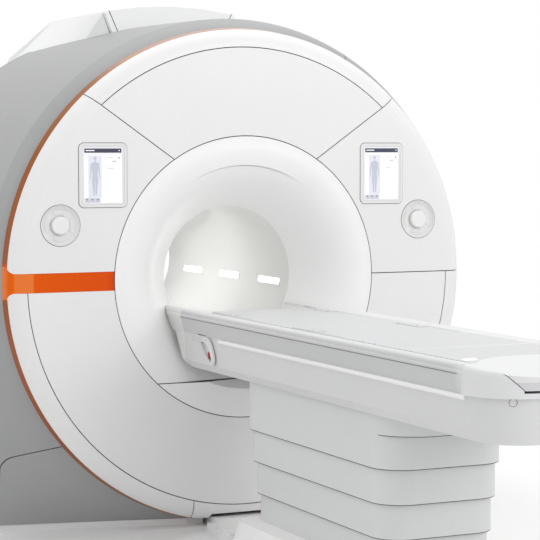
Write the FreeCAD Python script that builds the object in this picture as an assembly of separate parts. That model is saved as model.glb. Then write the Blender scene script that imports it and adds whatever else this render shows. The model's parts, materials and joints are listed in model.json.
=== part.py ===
import FreeCAD, Part
import math
import os

# An MRI scanner: a ring-shaped gantry round a cylindrical magnet, and the patient table docked to it.
# Millimetres. While it is modelled, X is to the right as seen from the table, +Y goes into the bore and
# +Z is up, from the centre of the front disc. Every piece is then moved so that the floor is z = 0 and
# the middle of the machine is x = 0, y = 0.

V = FreeCAD.Vector
X_AXIS = V(1, 0, 0)
Y_AXIS = V(0, 1, 0)
Z_AXIS = V(0, 0, 1)

# ---- Heights and clearances shared by many pieces
ISO_HEIGHT = 1065.0          # scan axis above the floor
FLOOR_Z = -ISO_HEIGHT
SEAM = 4.0                   # open joint between two covers
SEAT = 0.3                   # play between a piece and its seat
RUN = 0.5                    # running play beside a piece that slides
FAR = 3000.0                 # reach of a cutting block, beyond any piece

# ---- Bore and funnel, across
BORE_R = 300.0
LINER_WALL = 8.0
LINER_R = BORE_R + LINER_WALL
CONE_RISE = 180.0            # the funnel's cone widens the bore by this up to its crease
CREASE_R = BORE_R + CONE_RISE
RING_WIDE = 124.0            # front ring of the funnel, from the crease to the inner seam
INNER_SEAM_R = CREASE_R + RING_WIDE
RING_FLAT = 30.0             # flat stretch of the ring inside the seam
FUNNEL_WALL = 6.0
SPLIT_IN = 40.0              # the funnel's level joint lies this far above the crease's lowest point
FUNNEL_SPLIT = CREASE_R - SPLIT_IN

# ---- Front disc
RIM_LIFT = 7.0               # the disc's full circle would end this far above the floor
RIM_R = ISO_HEIGHT - RIM_LIFT
RIM_DROP = 35.0              # how far the rim lies behind the flat face
FACE_Y = -RIM_DROP
BORDER_WIDE = 77.0           # rounded border between the flat face and the rim
OUTER_SEAM_R = RIM_R - BORDER_WIDE
BORDER_ROUND = (BORDER_WIDE ** 2 + RIM_DROP ** 2) / (2 * RIM_DROP)
RIM_ANGLE = math.degrees(math.asin(BORDER_WIDE / BORDER_ROUND))
SKIN = 5.0                   # wall of the front covers
FLAT_LIFT = 32.0             # the disc is cut flat this far above the floor
FLAT_CUT = ISO_HEIGHT - FLAT_LIFT
DIAGONAL_SLOPE = 0.694       # rise over run of the two upper diagonal seams
DIAGONAL_APEX = 273.0        # height where the two diagonals would cross
SIDE_SEAM_Z = 0.0            # right-hand horizontal seam
BOTTOM_SEAM_X = 250.0        # upright seams in the lower border
TRIM_PROUD = 1.0             # coloured rim strip beyond the border's edge
TRIM_FLARE = 8.0             # its back edge lies this far outside the rim
TRIM_DEPTH = 44.0            # and this far behind it
TRIM_WALL = 5.0
FRAME_PLATE = 10.0           # carrier plate behind the covers
FRAME_LAP = 16.0             # the carrier reaches this far inside the inner seam

# ---- Coloured band on the left of the disc
BAND_TOP = 40.0
BAND_BOTTOM = -39.0
BAND_FLARE = 29.0            # corner radius where the band runs into the rim
BAND_GAP = 0.5
BAND_WRAP_GAP = 1.5          # between the band's end round the rim and the rim strip

# ---- Funnel and bore, along
CREASE_PROUD = 9.0           # the crease stands this far in front of the face
CREASE_Y = FACE_Y - CREASE_PROUD
CONE_END = 211.0             # the funnel meets the bore liner this far behind the face
BORE_START = FACE_Y + CONE_END
LIGHT_START = 270.0          # first bore light
LIGHT_LENGTH = 225.0
LIGHT_PITCH = 447.0
LIGHT_COUNT = 3
LIGHT_ANGLE = 8.9            # degrees below the axis, at the middle of a light
LIGHT_SPAN = 5.3             # degrees
LIGHT_FLANGE = 6.0           # lens flange behind the liner
LIGHT_FLANGE_THICK = 3.0

# ---- Displays
DISPLAY_IN = 48.0            # middle of a display, out from the inner seam's side
DISPLAY_X = INNER_SEAM_R + DISPLAY_IN
DISPLAY_Z = 440.0
DISPLAY_WIDE = 210.0
DISPLAY_TALL = 265.0
DISPLAY_CORNER = 22.0
DISPLAY_EDGE = 11.0          # width of the bezel
DISPLAY_PROUD = 3.0
DISPLAY_DEEP = 34.0          # depth of the display box behind the face
SCREEN_SUNK = 1.5            # screen behind the bezel's front
FLANGE = 9.0                 # mounting flange of a display or dish, behind the cover
FLANGE_THICK = 4.0
CUTOUT_GAP = 2.5             # open line round a display or dish

# ---- Control dishes with their knobs and buttons
DISH_IN = 143.0              # middle of a dish, in from the outer seam's side
DISH_X = OUTER_SEAM_R - DISH_IN
DISH_Z = 235.0
KNOB_R = 37.0
KNOB_TALL = 24.0
KNOB_ROUND = 5.0
KNOB_GAP = 3.5               # open ring round the knob
KNOB_POCKET_R = KNOB_R + KNOB_GAP
KNOB_POCKET_DEEP = 4.0       # below the dish's floor
BUTTON_INNER = KNOB_POCKET_R + 4.5
BUTTON_WIDE = 19.0
BUTTON_OUTER = BUTTON_INNER + BUTTON_WIDE
BUTTON_SPAN = 56.0           # degrees
BUTTON_CORNER = 4.0
BUTTON_PROUD = 1.5           # beyond the dish's floor
BUTTON_TRAVEL = 1.5
BUTTON_DEEP = 10.0
BUTTON_PLAY = 0.4
DISH_FLOOR_R = BUTTON_OUTER + 3.0
DISH_SLOPE_WIDE = 17.0       # sloping ring round the dish's floor
DISH_SLOPE_SAG = 1.5         # how much it is hollowed
DISH_R = DISH_FLOOR_R + DISH_SLOPE_WIDE
DISH_DEPTH = 12.0            # floor of the dish behind the face
DISH_BACK = 14.0             # solid behind the dish's floor
LIP_PROUD = 1.5
LIP_FLAT = 2.0               # width of the dish's raised lip
SHAFT_R = 8.0
SHAFT_PLAY = 0.08
CIRCLIP_R = 12.0
CIRCLIP_THICK = 3.0

# ---- Side and rear housing
HOUSING_WALL = 6.0
HOUSING_START = TRIM_DEPTH + 1.0  # front edge, just behind the rim strip
HOUSING_FRONT_R = RIM_R + TRIM_FLARE - 3.0
SHOULDER_MID_RISE = 36.0     # the housing swells beyond the rim by this halfway to its shoulder
SHOULDER_RISE = 52.0         # and by this at the shoulder
SHOULDER_MID_R = RIM_R + SHOULDER_MID_RISE
SHOULDER_MID_Y = 80.0
SHOULDER_R = RIM_R + SHOULDER_RISE
SHOULDER_Y = 120.0
BELLY_RISE = 12.0            # the ring at mid depth is wider than the shoulder by this
BELLY_R = SHOULDER_R + BELLY_RISE
BELLY_Y = 800.0
REAR_Y = 1700.0
REAR_COVER_DEEP = 100.0
REAR_SEAM_Y = REAR_Y - REAR_COVER_DEEP
TAIL_LONG = 200.0            # rounded tail
TAIL_Y = REAR_Y - TAIL_LONG
TAIL_RISE = 12.0             # the tail is wider than the shoulder by this where it begins
TAIL_R = SHOULDER_R + TAIL_RISE
TAIL_MID_RISE = 4.0          # and by this at the rear cover's seam
TAIL_MID_R = SHOULDER_R + TAIL_MID_RISE
TAIL_MID_Y = REAR_SEAM_Y
REAR_EDGE_FALL = 48.0        # it is smaller by this where it reaches the rear face
REAR_EDGE_R = SHOULDER_R - REAR_EDGE_FALL
FOOT_TAPER = 0.05            # the sides lean in by this share down to the plinth
APRON_BACK = 250.0           # depth of the front corner at the plinth
APRON_LEVELS = 7
REAR_MOUTH_RISE = 120.0      # the rear funnel widens the bore by this
REAR_MOUTH_R = BORE_R + REAR_MOUTH_RISE
REAR_MOUTH_LAP = 20.0
SIDE_SEAM_ANGLE = 61.0       # right-hand cover joint, degrees up from the X axis
LOWER_SEAM_IN = (810.0, 690.0)    # lower front cover: where its seam leaves the rim, beside and below
LOWER_SEAM_OUT = (1040.0, 747.5)  # and where it turns down
LOWER_SEAM_ROUND = 40.0
LOWER_COVER_BACK = 426.0     # the whole of that cover lies in front of this
PLINTH_TALL = 27.0
PLINTH_TOP = FLOOR_Z + PLINTH_TALL
PLINTH_WALL = 24.0
PLINTH_INSET = 4.0

# ---- Turret on top of the housing
TURRET_HALF = 330.0
TURRET_RISE = 100.0          # its top, above the housing's shoulder
TURRET_TOP = SHOULDER_R + TURRET_RISE
TURRET_CROWN = 28.0          # its top edges lie this much lower
TURRET_EDGE = TURRET_TOP - TURRET_CROWN
TURRET_ROUND = 12.0
TURRET_REAR_INSET = 10.0
TURRET_FOOT = REAR_Y - TURRET_REAR_INSET
TURRET_LONG = 870.0
TURRET_FRONT = TURRET_FOOT - TURRET_LONG
TURRET_CAP = 26.0            # depth of the front cap
TURRET_BAND = 22.0           # second seam behind the first
TURRET_SLOPE = 100.0         # length of the rear slope
TURRET_REAR = TURRET_FOOT - TURRET_SLOPE
TURRET_FOOT_FALL = 38.0      # the slope ends this far below the shoulder
TURRET_FOOT_TOP = SHOULDER_R - TURRET_FOOT_FALL
TURRET_WALL = 6.0
TURRET_SEAM = 2.5
TURRET_LAP = 60.0            # its side walls end this far inside the housing's shoulder
HATCH_INSET = 24.0           # opening in the housing under the turret, inside the turret's walls

# ---- Magnet and coils
CABLE_ROOM = 108.0           # room round the vessel, inside the rim
VESSEL_R = RIM_R - CABLE_ROOM
VESSEL_BACK = 155.0          # vessel behind the face
VESSEL_START = FACE_Y + VESSEL_BACK
VESSEL_REAR_ROOM = 20.0
VESSEL_END = REAR_SEAM_Y - VESSEL_REAR_ROOM
VESSEL_ROUND = 60.0
VESSEL_WALL = 12.0
BODY_COIL_GAP = 15.0         # body coil outside the liner
BODY_COIL_INNER = LINER_R + BODY_COIL_GAP
GRADIENT_GAP = 37.0          # gradient coil outside the liner
GRADIENT_INNER = LINER_R + GRADIENT_GAP
GRADIENT_THICK = 100.0
VESSEL_BORE = GRADIENT_INNER + GRADIENT_THICK
GRADIENT_START = VESSEL_START + 110.0
GRADIENT_END = VESSEL_END - 150.0
BODY_COIL_INSET = 300.0      # body coil, from each end of the gradient coil
BODY_COIL_START = GRADIENT_START + BODY_COIL_INSET
BODY_COIL_END = GRADIENT_END - BODY_COIL_INSET
LINER_RING = 30.0            # width of the liner's support rings
COLD_MASS_GAP = 75.0         # superconducting coils on their former, outside the vessel's bore
COLD_MASS_INNER = VESSEL_BORE + COLD_MASS_GAP
COLD_MASS_THICK = 100.0
COLD_MASS_OUTER = COLD_MASS_INNER + COLD_MASS_THICK
COLD_MASS_INSET = 110.0      # from each end of the vessel
STRUT_R = 14.0               # struts that hang the cold mass in the vessel
STRUT_COUNT = 4
STRUT_INSET = 260.0
STANDOFF_INSET = 90.0        # standoffs of the front carrier, inside the vessel's edge
STANDOFF_R = VESSEL_R - STANDOFF_INSET
STANDOFF_RADIUS = 22.0
STANDOFF_COUNT = 8
FOOT_X = 430.0
FOOT_Y = 400.0               # magnet feet, from each end of the vessel
FOOT_WIDE = 200.0
FOOT_PAD = 280.0
FOOT_PAD_TALL = 25.0
RAIL_HALF = 60.0             # steel floor rail that ties the table's foot to the magnet's feet
COLD_HEAD_BACK = 380.0
COLD_HEAD_Y = TURRET_FRONT + COLD_HEAD_BACK
COLD_HEAD_R = 75.0
COLD_HEAD_ROOM = 60.0        # under the turret's top
COLD_HEAD_TOP = TURRET_TOP - COLD_HEAD_ROOM
COLD_MOTOR_R = 45.0
COLD_FLANGE_R = 130.0
COLD_FLANGE_TALL = 30.0

# ---- Patient table, across
BOARD_HALF = 256.0
BOARD_SIDE_GAP = 4.0
BOARD_TAPER = 62.0           # the board's underside is narrower by this on each side
BOARD_FOOT_HALF = BOARD_HALF - BOARD_TAPER
RAIL_GAP = 16.0              # inner edge of the raised rail, beyond the board
RAIL_INNER = BOARD_HALF + RAIL_GAP
RAIL_WIDE = 28.0
CREST_X = RAIL_INNER + RAIL_WIDE
LIP_OUT = 17.0               # the tray's lip, beyond the rail's crest
LIP_X = CREST_X + LIP_OUT
TRAY_FOOT_X = CREST_X        # half width of the tray at its bottom edge
BODY_HALF = TRAY_FOOT_X
BODY_LEAN = 3.0
BODY_CHAMFER = 30.0
BODY_CHAMFER_IN = 18.0
BODY_WALL = 6.0
KEEL_HALF = 120.0

# ---- Patient table, heights
CREST_Z = -122.3             # crest of the side rails with the lift up, from the scan axis
BOARD_SUNK = 6.3
BOARD_TOP = CREST_Z - BOARD_SUNK
BOARD_EDGE = 8.0             # upright edge of the board
BOARD_DROP = 26.0            # the top rolls down by this much at the patient end
LIP_DOWN = 30.7              # the tray's lip, below the crest
LIP_Z = CREST_Z - LIP_DOWN
LIP_EDGE = 5.0               # upright edge under the lip
LIP_RISE = 8.0               # the lip's rounding above it
CREST_ROUND = 9.0            # rounding of the crest, across
CREST_FALL = 3.0             # and down
TRAY_TALL = 99.7
TRAY_BOTTOM = CREST_Z - TRAY_TALL
TRAY_FLOOR = 25.0            # under the board
BOARD_BOTTOM = TRAY_BOTTOM + TRAY_FLOOR
BOARD_SLOT = 8.0             # dark slot under the board's patient end
KEEL_FLOOR = TRAY_BOTTOM + 4.0   # floor of the tray channel and of the bridge
BODY_TALL = 145.0
BODY_BOTTOM = TRAY_BOTTOM - BODY_TALL

# ---- Patient table, along
TABLE_END = -2550.0          # patient end of the table
TABLE_CORNER = 190.0         # plan corner at that end
TRAY_END_STRAIGHT = TABLE_END + TABLE_CORNER  # the undercut side ends here
BODY_SETBACK = 12.0          # body end behind the tray end
END_SILL = 35.0              # raised sill at the channel's patient end
NOSE_SPLIT = -56.0           # the fixed nose begins here
NOSE_GAP = 1.2
NOSE_TOP_Y = 144.0           # head end of the tray form, at its top
NOSE_FOOT_Y = 98.0           # and at its bottom
NOSE_FOOT_IN = 6.0           # its lower edge turns in over this depth
NOSE_FOOT_UP = 12.0          # and this height
NOSE_BODY_TOP_Y = 47.0       # head end of the body form
NOSE_BODY_LOW_Y = -30.0
NOSE_BODY_LOW = 24.0         # its slope ends this far above the body's bottom
NOSE_BODY_ROUND_Y = -118.0
NOSE_ROUND_SHARE = 0.18      # of that height is left halfway round the lower turn
NOSE_CLEAR = 4.0             # play between the nose and the funnel
BOARD_HEAD = -190.0          # head end of the board at rest
BOARD_HEAD_CORNER = 70.0
BOARD_DROP_LONG = 300.0      # length of the rolled patient end
BOARD_DROP_START = TABLE_END + BOARD_DROP_LONG
FOOT_PANEL_LONG = 365.0      # foot panel, at the middle of its arc seam
FOOT_PANEL_Y = TABLE_END + FOOT_PANEL_LONG
FOOT_PANEL_SIDE = 178.0      # and at the board's sides
FOOT_PANEL_SIDE_Y = TABLE_END + FOOT_PANEL_SIDE
KEEL_END = 60.0              # the keel stops this far from both ends of the board

# ---- Bridge in the bore
BRIDGE_PLATE = 8.0
BRIDGE_START = NOSE_SPLIT + 16.0     # the plate reaches under the nose
BRIDGE_TOP_START = NOSE_FOOT_Y + 6.0  # the raised track starts behind it
BRIDGE_RIB_X = 100.0
BRIDGE_RIB_HALF = 6.0
BRIDGE_RIB_START = BORE_START + 10.0

# ---- Socket covers and strap slots on the board
SOCKET_IN = 34.0
SOCKET_X = BOARD_HALF - SOCKET_IN
SOCKET_WIDE = 52.0
SOCKET_LONG = 195.0
SOCKET_TALL = 2.5
SOCKET_Y = (-230.0, -990.0)  # head ends of the two pairs
SOCKET_CORNER = 10.0
STRAP_SLOT_BACK = 12.0       # strap slots start this far behind a socket
STRAP_SLOT_IN = 14.0         # and lie this far inside the board's edge
STRAP_SLOT_LONG = 200.0
STRAP_SLOT_WIDE = 5.0
STRAP_SLOT_DEEP = 8.0

# ---- Telescopic lift covers under the table, and the floor base they stand in
BASE_TALL = 140.0
BASE_TOP = FLOOR_Z + BASE_TALL
COVER_HALF = 252.7           # half width of the top cover
COVER_END = -1754.0          # its patient end
COVER_HEAD = -521.5          # its bore end
COVER_CORNER = 121.0
COVER_TALL = 195.6           # top cover
COVER_BOTTOM = BODY_BOTTOM - COVER_TALL
COVER_COUNT = 4
COVER_LAST = 111.4           # height of the lowest cover that shows
COVER_PITCH = (COVER_BOTTOM - BASE_TOP - COVER_LAST) / (COVER_COUNT - 2)
COVER_STEP_X = 8.4           # each lower cover is narrower by this
COVER_STEP_END = 18.8        # and shorter by this at the patient end
COVER_STEP_HEAD = 23.3       # and by this at the bore end
COVER_WALL = 3.0
COVER_LIP = 3.0
COVER_LIP_PLAY = 0.8
COLLAR_REACH = 42.0          # collar of the top cover, beyond its patient end
COLLAR_TALL = 76.0
COLLAR_BOTTOM = BODY_BOTTOM - COLLAR_TALL
BASE_WIDER = 87.3            # half width of the base at the floor, beyond the covers
BASE_HALF = COVER_HALF + BASE_WIDER
BASE_LEAN = 28.0             # its sides lean in by this up to its top
BASE_HEAD_LEAN = 28.0        # and its bore end by this much more
BASE_END = COVER_END - 46.0
BASE_HEAD = COVER_HEAD + 21.5
BASE_CORNER = 120.0
BASE_WALL = 6.0
COVER_WELL = 2.0             # hole in the base's top, inside the lowest cover

# ---- Lift column inside the covers
LIFT_IN = 617.0              # middle of the column, from the covers' patient end
LIFT_Y = COVER_END + LIFT_IN
LIFT_HALF = 130.0            # outer column, half width
LIFT_WALL = 8.0
LIFT_CORNER = 12.0
LIFT_BASE_TALL = 10.0
LIFT_PLATE_CORNER = 20.0
LIFT_OUTER_TALL = 320.0      # top of the fixed column, above the floor
LIFT_OUTER_TOP = FLOOR_Z + LIFT_OUTER_TALL
LIFT_MIDDLE_UP = 205.0       # foot of the middle column, above the floor
LIFT_MIDDLE_BOTTOM = FLOOR_Z + LIFT_MIDDLE_UP
LIFT_MIDDLE_DOWN = 193.0     # its top, below the table's body
LIFT_MIDDLE_TOP = BODY_BOTTOM - LIFT_MIDDLE_DOWN
LIFT_INNER_LONG = 323.0      # inner column, below the table's body
LIFT_INNER_BOTTOM = BODY_BOTTOM - LIFT_INNER_LONG
LIFT_HEAD_HALF = 180.0
LIFT_HEAD_TALL = 12.0

# ---- Floor duct and the doorway that it passes
DUCT_HALF = 158.0
DUCT_END = FACE_Y + 125.0    # the duct ends under the gantry
DUCT_TALL = 35.0             # height of the duct below the gantry
DUCT_TOP = FLOOR_Z + DUCT_TALL
DUCT_LOW_Y = FACE_Y - 25.0   # the duct starts to rise here
DUCT_RUN = 120.0             # and reaches the base's top this far inside its bore end
DUCT_HIGH_Y = BASE_HEAD - DUCT_RUN
DUCT_LAP = 40.0
DOOR_PLAY = 14.0
DOOR_HALF = DUCT_HALF + DOOR_PLAY
DOOR_TALL = 17.5             # doorway above the disc's flat cut
DOOR_TOP = FLAT_CUT - DOOR_TALL
DOOR_CHAMFER = 12.0
RAIL_DOOR = 1.0              # play round the floor rail where it leaves the duct
TAB_PROUD = 35.0
TAB_TALL = 18.0
TABS = ((-40.0, -95.0), (-210.0, -280.0))

# ---- Release lever on the table's left side
LEVER_Y = -314.0
LEVER_DOWN = 11.0            # its pin, below the tray
LEVER_Z = TRAY_BOTTOM - LEVER_DOWN
LEVER_GAP = 4.0              # between the body's side and the lever
LEVER_THICK = 8.0
LEVER_PIN_R = 6.0
LEVER_PIN_DEEP = 10.0
LEVER_PIN_PLAY = 0.08
POCKET_DEEP = 14.0
POCKET_BACK = 4.0
NOTCH_END = LEVER_Y + 34.0   # finger notch in the tray's lower edge, above the pocket
NOTCH_LONG = 75.0
NOTCH_DEEP = 8.0
NOTCH_TALL = 6.0

# ---- Slide drive inside the table
DRIVE_IN = 750.0             # middle of the slide drive, from the patient end
DRIVE_Y = TABLE_END + DRIVE_IN
DRIVE_LONG = 520.0
DRIVE_WIDE = 150.0
DRIVE_TALL = 60.0
DRIVE_MOTOR_R = 45.0
DRIVE_MOTOR_LONG = 160.0
DRIVE_MOTOR_DOWN = 5.0

# ---- Place of the finished machine
MIDDLE_Y = (TABLE_END + REAR_Y) / 2


# ---- Outlines and solids

def loop(points, place):
    """Closed wire: a pair is a straight run to that point, four numbers are an arc through a point."""
    edges = []
    here = points[0]
    for item in points[1:] + [points[0]]:
        end = item[-2:]
        if len(item) == 4:
            edges.append(Part.Arc(place(*here), place(*item[:2]), place(*end)).toShape())
        elif here != end:
            edges.append(Part.LineSegment(place(*here), place(*end)).toShape())
        here = end
    return Part.Wire(edges)


def turned(points, centre_x=0.0, centre_z=0.0):
    """Solid turned about an axis along Y, from an outline of (radius, depth) points."""
    wire = loop(points, lambda r, y: V(centre_x + r, y, centre_z))
    return Part.Face(wire).revolve(V(centre_x, 0, centre_z), Y_AXIS, 360)


def along_x(points, start, end):
    """Solid with an outline of (depth, height) points, from one x to another."""
    return Part.Face(loop(points, lambda y, z: V(start, y, z))).extrude(V(end - start, 0, 0))


def along_y(points, start, end):
    """Solid with an outline of (across, height) points, from one depth to another."""
    return Part.Face(loop(points, lambda x, z: V(x, start, z))).extrude(V(0, end - start, 0))


def upright(points, bottom, top):
    """Solid with a plan outline, from one height to another."""
    return Part.Face(loop(points, lambda x, y: V(x, y, bottom))).extrude(V(0, 0, top - bottom))


def block(low, high):
    """Box between two corners."""
    return Part.makeBox(high[0] - low[0], high[1] - low[1], high[2] - low[2], V(*low))


def disc(radius, start, end, x=0.0, z=0.0):
    """Cylinder along Y."""
    return Part.makeCylinder(radius, end - start, V(x, start, z), Y_AXIS)


def tube(inner, outer, start, end, x=0.0, z=0.0):
    """Hollow cylinder along Y."""
    return disc(outer, start, end, x, z).cut(disc(inner, start, end, x, z))


def rounded(low_a, high_a, low_b, high_b, radius):
    """Rectangle with round corners, as points for a loop."""
    near = radius * (1 - math.sqrt(0.5))
    return [
        (low_a + radius, low_b), (high_a - radius, low_b),
        (high_a - near, low_b + near, high_a, low_b + radius), (high_a, high_b - radius),
        (high_a - near, high_b - near, high_a - radius, high_b), (low_a + radius, high_b),
        (low_a + near, high_b - near, low_a, high_b - radius), (low_a, low_b + radius),
        (low_a + near, low_b + near, low_a + radius, low_b),
    ]


def bullet(half, end, head, corner):
    """Plan outline with two round corners at the patient end and a square bore end."""
    near = corner * (1 - math.sqrt(0.5))
    return [
        (half, head), (-half, head), (-half, end + corner),
        (-half + near, end + near, -half + corner, end), (half - corner, end),
        (half - near, end + near, half, end + corner),
    ]


def mirrored(shape):
    """The same piece on the other side of the machine."""
    return shape.mirror(V(0, 0, 0), X_AXIS)


def one(shape):
    """A clean shape with its split faces joined."""
    return shape.removeSplitter()


def above(z):
    """Everything above a height."""
    return block((-FAR, -FAR, z), (FAR, FAR, z + 2 * FAR))


def below(z):
    """Everything below a height."""
    return block((-FAR, -FAR, z - 2 * FAR), (FAR, FAR, z))


# ---- Front disc

def border_point(inset, turn=0.0):
    """Point of the rounded border where it meets the rim, moved into the wall and round the border."""
    angle = math.radians(RIM_ANGLE + turn)
    reach = BORDER_ROUND - inset
    return (OUTER_SEAM_R + reach * math.sin(angle), FACE_Y + BORDER_ROUND - reach * math.cos(angle))


def disc_skin(inner_r, front, back):
    """Turned wall of the disc between two depths under its surface, from a radius to the rim."""
    half_turn = -RIM_ANGLE / 2
    return turned([
        (inner_r, FACE_Y + front), (OUTER_SEAM_R, FACE_Y + front),
        border_point(front, half_turn) + border_point(front),
        border_point(back), border_point(back, half_turn) + (OUTER_SEAM_R, FACE_Y + back),
        (inner_r, FACE_Y + back),
    ]).cut(below(-FLAT_CUT))


def between(inner, outer):
    """Tube that keeps one ring of a cover."""
    return tube(inner, outer, -FAR, FAR)


def upper_wedge(shift):
    """Everything above the two diagonal seams, moved up by a shift square to them."""
    apex = DIAGONAL_APEX + shift * math.hypot(1, DIAGONAL_SLOPE)
    rise = apex + DIAGONAL_SLOPE * FAR
    return along_y([(0, apex), (FAR, rise), (FAR, 2 * FAR), (-FAR, 2 * FAR), (-FAR, rise)], -FAR, FAR)


def band_block(play):
    """Outline of the coloured band, grown by a play, flared where it runs into the rim."""
    inner = -(INNER_SEAM_R + SEAM / 2) + play
    top = BAND_TOP + play
    bottom = BAND_BOTTOM - play
    flare_x = -math.sqrt(RIM_R ** 2 - BAND_FLARE ** 2)
    near = BAND_FLARE * (1 - math.sqrt(0.5))
    return along_y([
        (inner, bottom), (inner, top), (flare_x + BAND_FLARE, top),
        (flare_x + near, top + near, flare_x, top + BAND_FLARE), (-FAR, top + BAND_FLARE),
        (-FAR, bottom - BAND_FLARE), (flare_x, bottom - BAND_FLARE),
        (flare_x + near, bottom - near, flare_x + BAND_FLARE, bottom),
    ], -FAR, FAR)


def display_block(side, grow, start, end):
    """Rounded block at a display's place."""
    centre = side * DISPLAY_X
    wide = DISPLAY_WIDE / 2 + grow
    tall = DISPLAY_TALL / 2 + grow
    corner = DISPLAY_CORNER + grow
    outline = rounded(centre - wide, centre + wide, DISPLAY_Z - tall, DISPLAY_Z + tall, corner)
    return along_y(outline, start, end)


def side_panel(side, floor):
    """Side cover with its border, from the diagonal seam down to the horizontal one."""
    skin = disc_skin(INNER_SEAM_R + SEAM / 2, 0, SKIN).cut(upper_wedge(-SEAM / 2)).cut(below(floor))
    keep = block((0, -FAR, -FAR), (FAR, FAR, FAR))
    skin = skin.common(keep if side > 0 else mirrored(keep))
    skin = skin.cut(display_block(side, CUTOUT_GAP, -FAR, FAR))
    return skin.cut(disc(DISH_R + CUTOUT_GAP, -FAR, FAR, side * DISH_X, DISH_Z))


def lower_region():
    """Everything below the band on the left and below the horizontal seam on the right."""
    right = SIDE_SEAM_Z - SEAM / 2
    left = BAND_BOTTOM - BAND_GAP
    return along_y([(-FAR, left), (0, left), (0, right), (FAR, right), (FAR, -FAR), (-FAR, -FAR)], -FAR, FAR)


def doorway(grow):
    """Opening in the disc's bottom edge for the floor duct."""
    half = DOOR_HALF + grow
    top = -DOOR_TOP + grow
    return along_y([
        (-half, -FAR), (half, -FAR), (half, top - DOOR_CHAMFER), (half - DOOR_CHAMFER, top),
        (-half + DOOR_CHAMFER, top), (-half, top - DOOR_CHAMFER),
    ], -FAR, FAR)


def upper_front_panel():
    skin = disc_skin(INNER_SEAM_R + SEAM / 2, 0, SKIN).common(between(0, OUTER_SEAM_R - SEAM / 2))
    return skin.common(upper_wedge(SEAM / 2))


def top_border_cover():
    skin = disc_skin(INNER_SEAM_R, 0, SKIN).common(between(OUTER_SEAM_R + SEAM / 2, FAR))
    return skin.common(upper_wedge(SEAM / 2))


def left_front_panel():
    return side_panel(-1, BAND_TOP + BAND_GAP).cut(band_block(BAND_GAP))


def right_front_panel():
    return side_panel(1, SIDE_SEAM_Z + SEAM / 2)


def lower_front_panel():
    skin = disc_skin(INNER_SEAM_R + SEAM / 2, 0, SKIN).common(between(0, OUTER_SEAM_R - SEAM / 2))
    return skin.common(lower_region()).cut(band_block(BAND_GAP))


def lower_border():
    """Border of the disc below the band and the right-hand seam."""
    skin = disc_skin(INNER_SEAM_R, 0, SKIN).common(between(OUTER_SEAM_R + SEAM / 2, FAR))
    return skin.common(lower_region()).cut(band_block(BAND_GAP)).cut(doorway(0))


def lower_left_border():
    return lower_border().common(block((-FAR, -FAR, -FAR), (-BOTTOM_SEAM_X - SEAM / 2, FAR, FAR)))


def bottom_border():
    half = BOTTOM_SEAM_X - SEAM / 2
    return lower_border().common(block((-half, -FAR, -FAR), (half, FAR, 0)))


def lower_right_border():
    return lower_border().common(block((BOTTOM_SEAM_X + SEAM / 2, -FAR, -FAR), (FAR, FAR, FAR)))


def rim_ring(play):
    """Coloured ring behind the border's edge, flared to meet the housing, clear of the covers by a play."""
    turn = math.degrees(play / BORDER_ROUND)
    inner = border_point(SKIN + FRAME_PLATE, turn)
    back = RIM_R + TRIM_FLARE
    ring = turned([
        inner, border_point(-TRIM_PROUD, turn), (back, TRIM_DEPTH), (back - TRIM_WALL, TRIM_DEPTH),
        (inner[0], inner[1] + TRIM_WALL),
    ])
    return ring.cut(below(-FLAT_CUT))


def accent_band():
    """Coloured band on the border and the flat face, with its end wrapped round the rim."""
    band = disc_skin(INNER_SEAM_R + SEAM / 2, 0, SKIN).common(band_block(0))
    return one(band.fuse(rim_ring(0).common(band_block(0))))


def rim_trim():
    """The coloured ring, less the stretch that the band's end covers."""
    return rim_ring(SEAT).cut(band_block(BAND_WRAP_GAP))


def front_cover_frame():
    """Carrier plate behind the front covers, on standoffs from the magnet vessel."""
    plate = disc_skin(INNER_SEAM_R - FRAME_LAP, SKIN, SKIN + FRAME_PLATE).cut(doorway(SEAM))
    hole = FLANGE + CUTOUT_GAP
    for side in (-1, 1):
        plate = plate.cut(display_block(side, hole, -FAR, FAR))
        plate = plate.cut(disc(DISH_R + hole, -FAR, FAR, side * DISH_X, DISH_Z))
    back = FACE_Y + SKIN + FRAME_PLATE
    for number in range(STANDOFF_COUNT):
        angle = math.radians(number * 360 / STANDOFF_COUNT)
        x = STANDOFF_R * math.cos(angle)
        z = STANDOFF_R * math.sin(angle)
        plate = plate.fuse(disc(STANDOFF_RADIUS, back, VESSEL_START, x, z))
    return one(plate)


# ---- Funnel and bore

def funnel_radius(y):
    """Inner radius of the funnel's cone at a depth."""
    return CREASE_R - (CREASE_R - BORE_R) * (y - CREASE_Y) / (BORE_START - CREASE_Y)


def funnel():
    """Ring inside the inner seam and the cone behind it."""
    outer = INNER_SEAM_R - SEAM / 2
    wall = FUNNEL_WALL
    return turned([
        (outer, FACE_Y), (outer - RING_FLAT, FACE_Y), (CREASE_R, CREASE_Y), (BORE_R, BORE_START),
        (BORE_R + wall, BORE_START), (CREASE_R + wall, CREASE_Y + wall),
        (outer - RING_FLAT, FACE_Y + wall), (outer - RING_FLAT, FACE_Y + SKIN), (outer, FACE_Y + SKIN),
    ])


def funnel_upper():
    return funnel().cut(below(-FUNNEL_SPLIT + SEAM / 2))


def funnel_lower():
    return funnel().cut(above(-FUNNEL_SPLIT - SEAM / 2))


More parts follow.
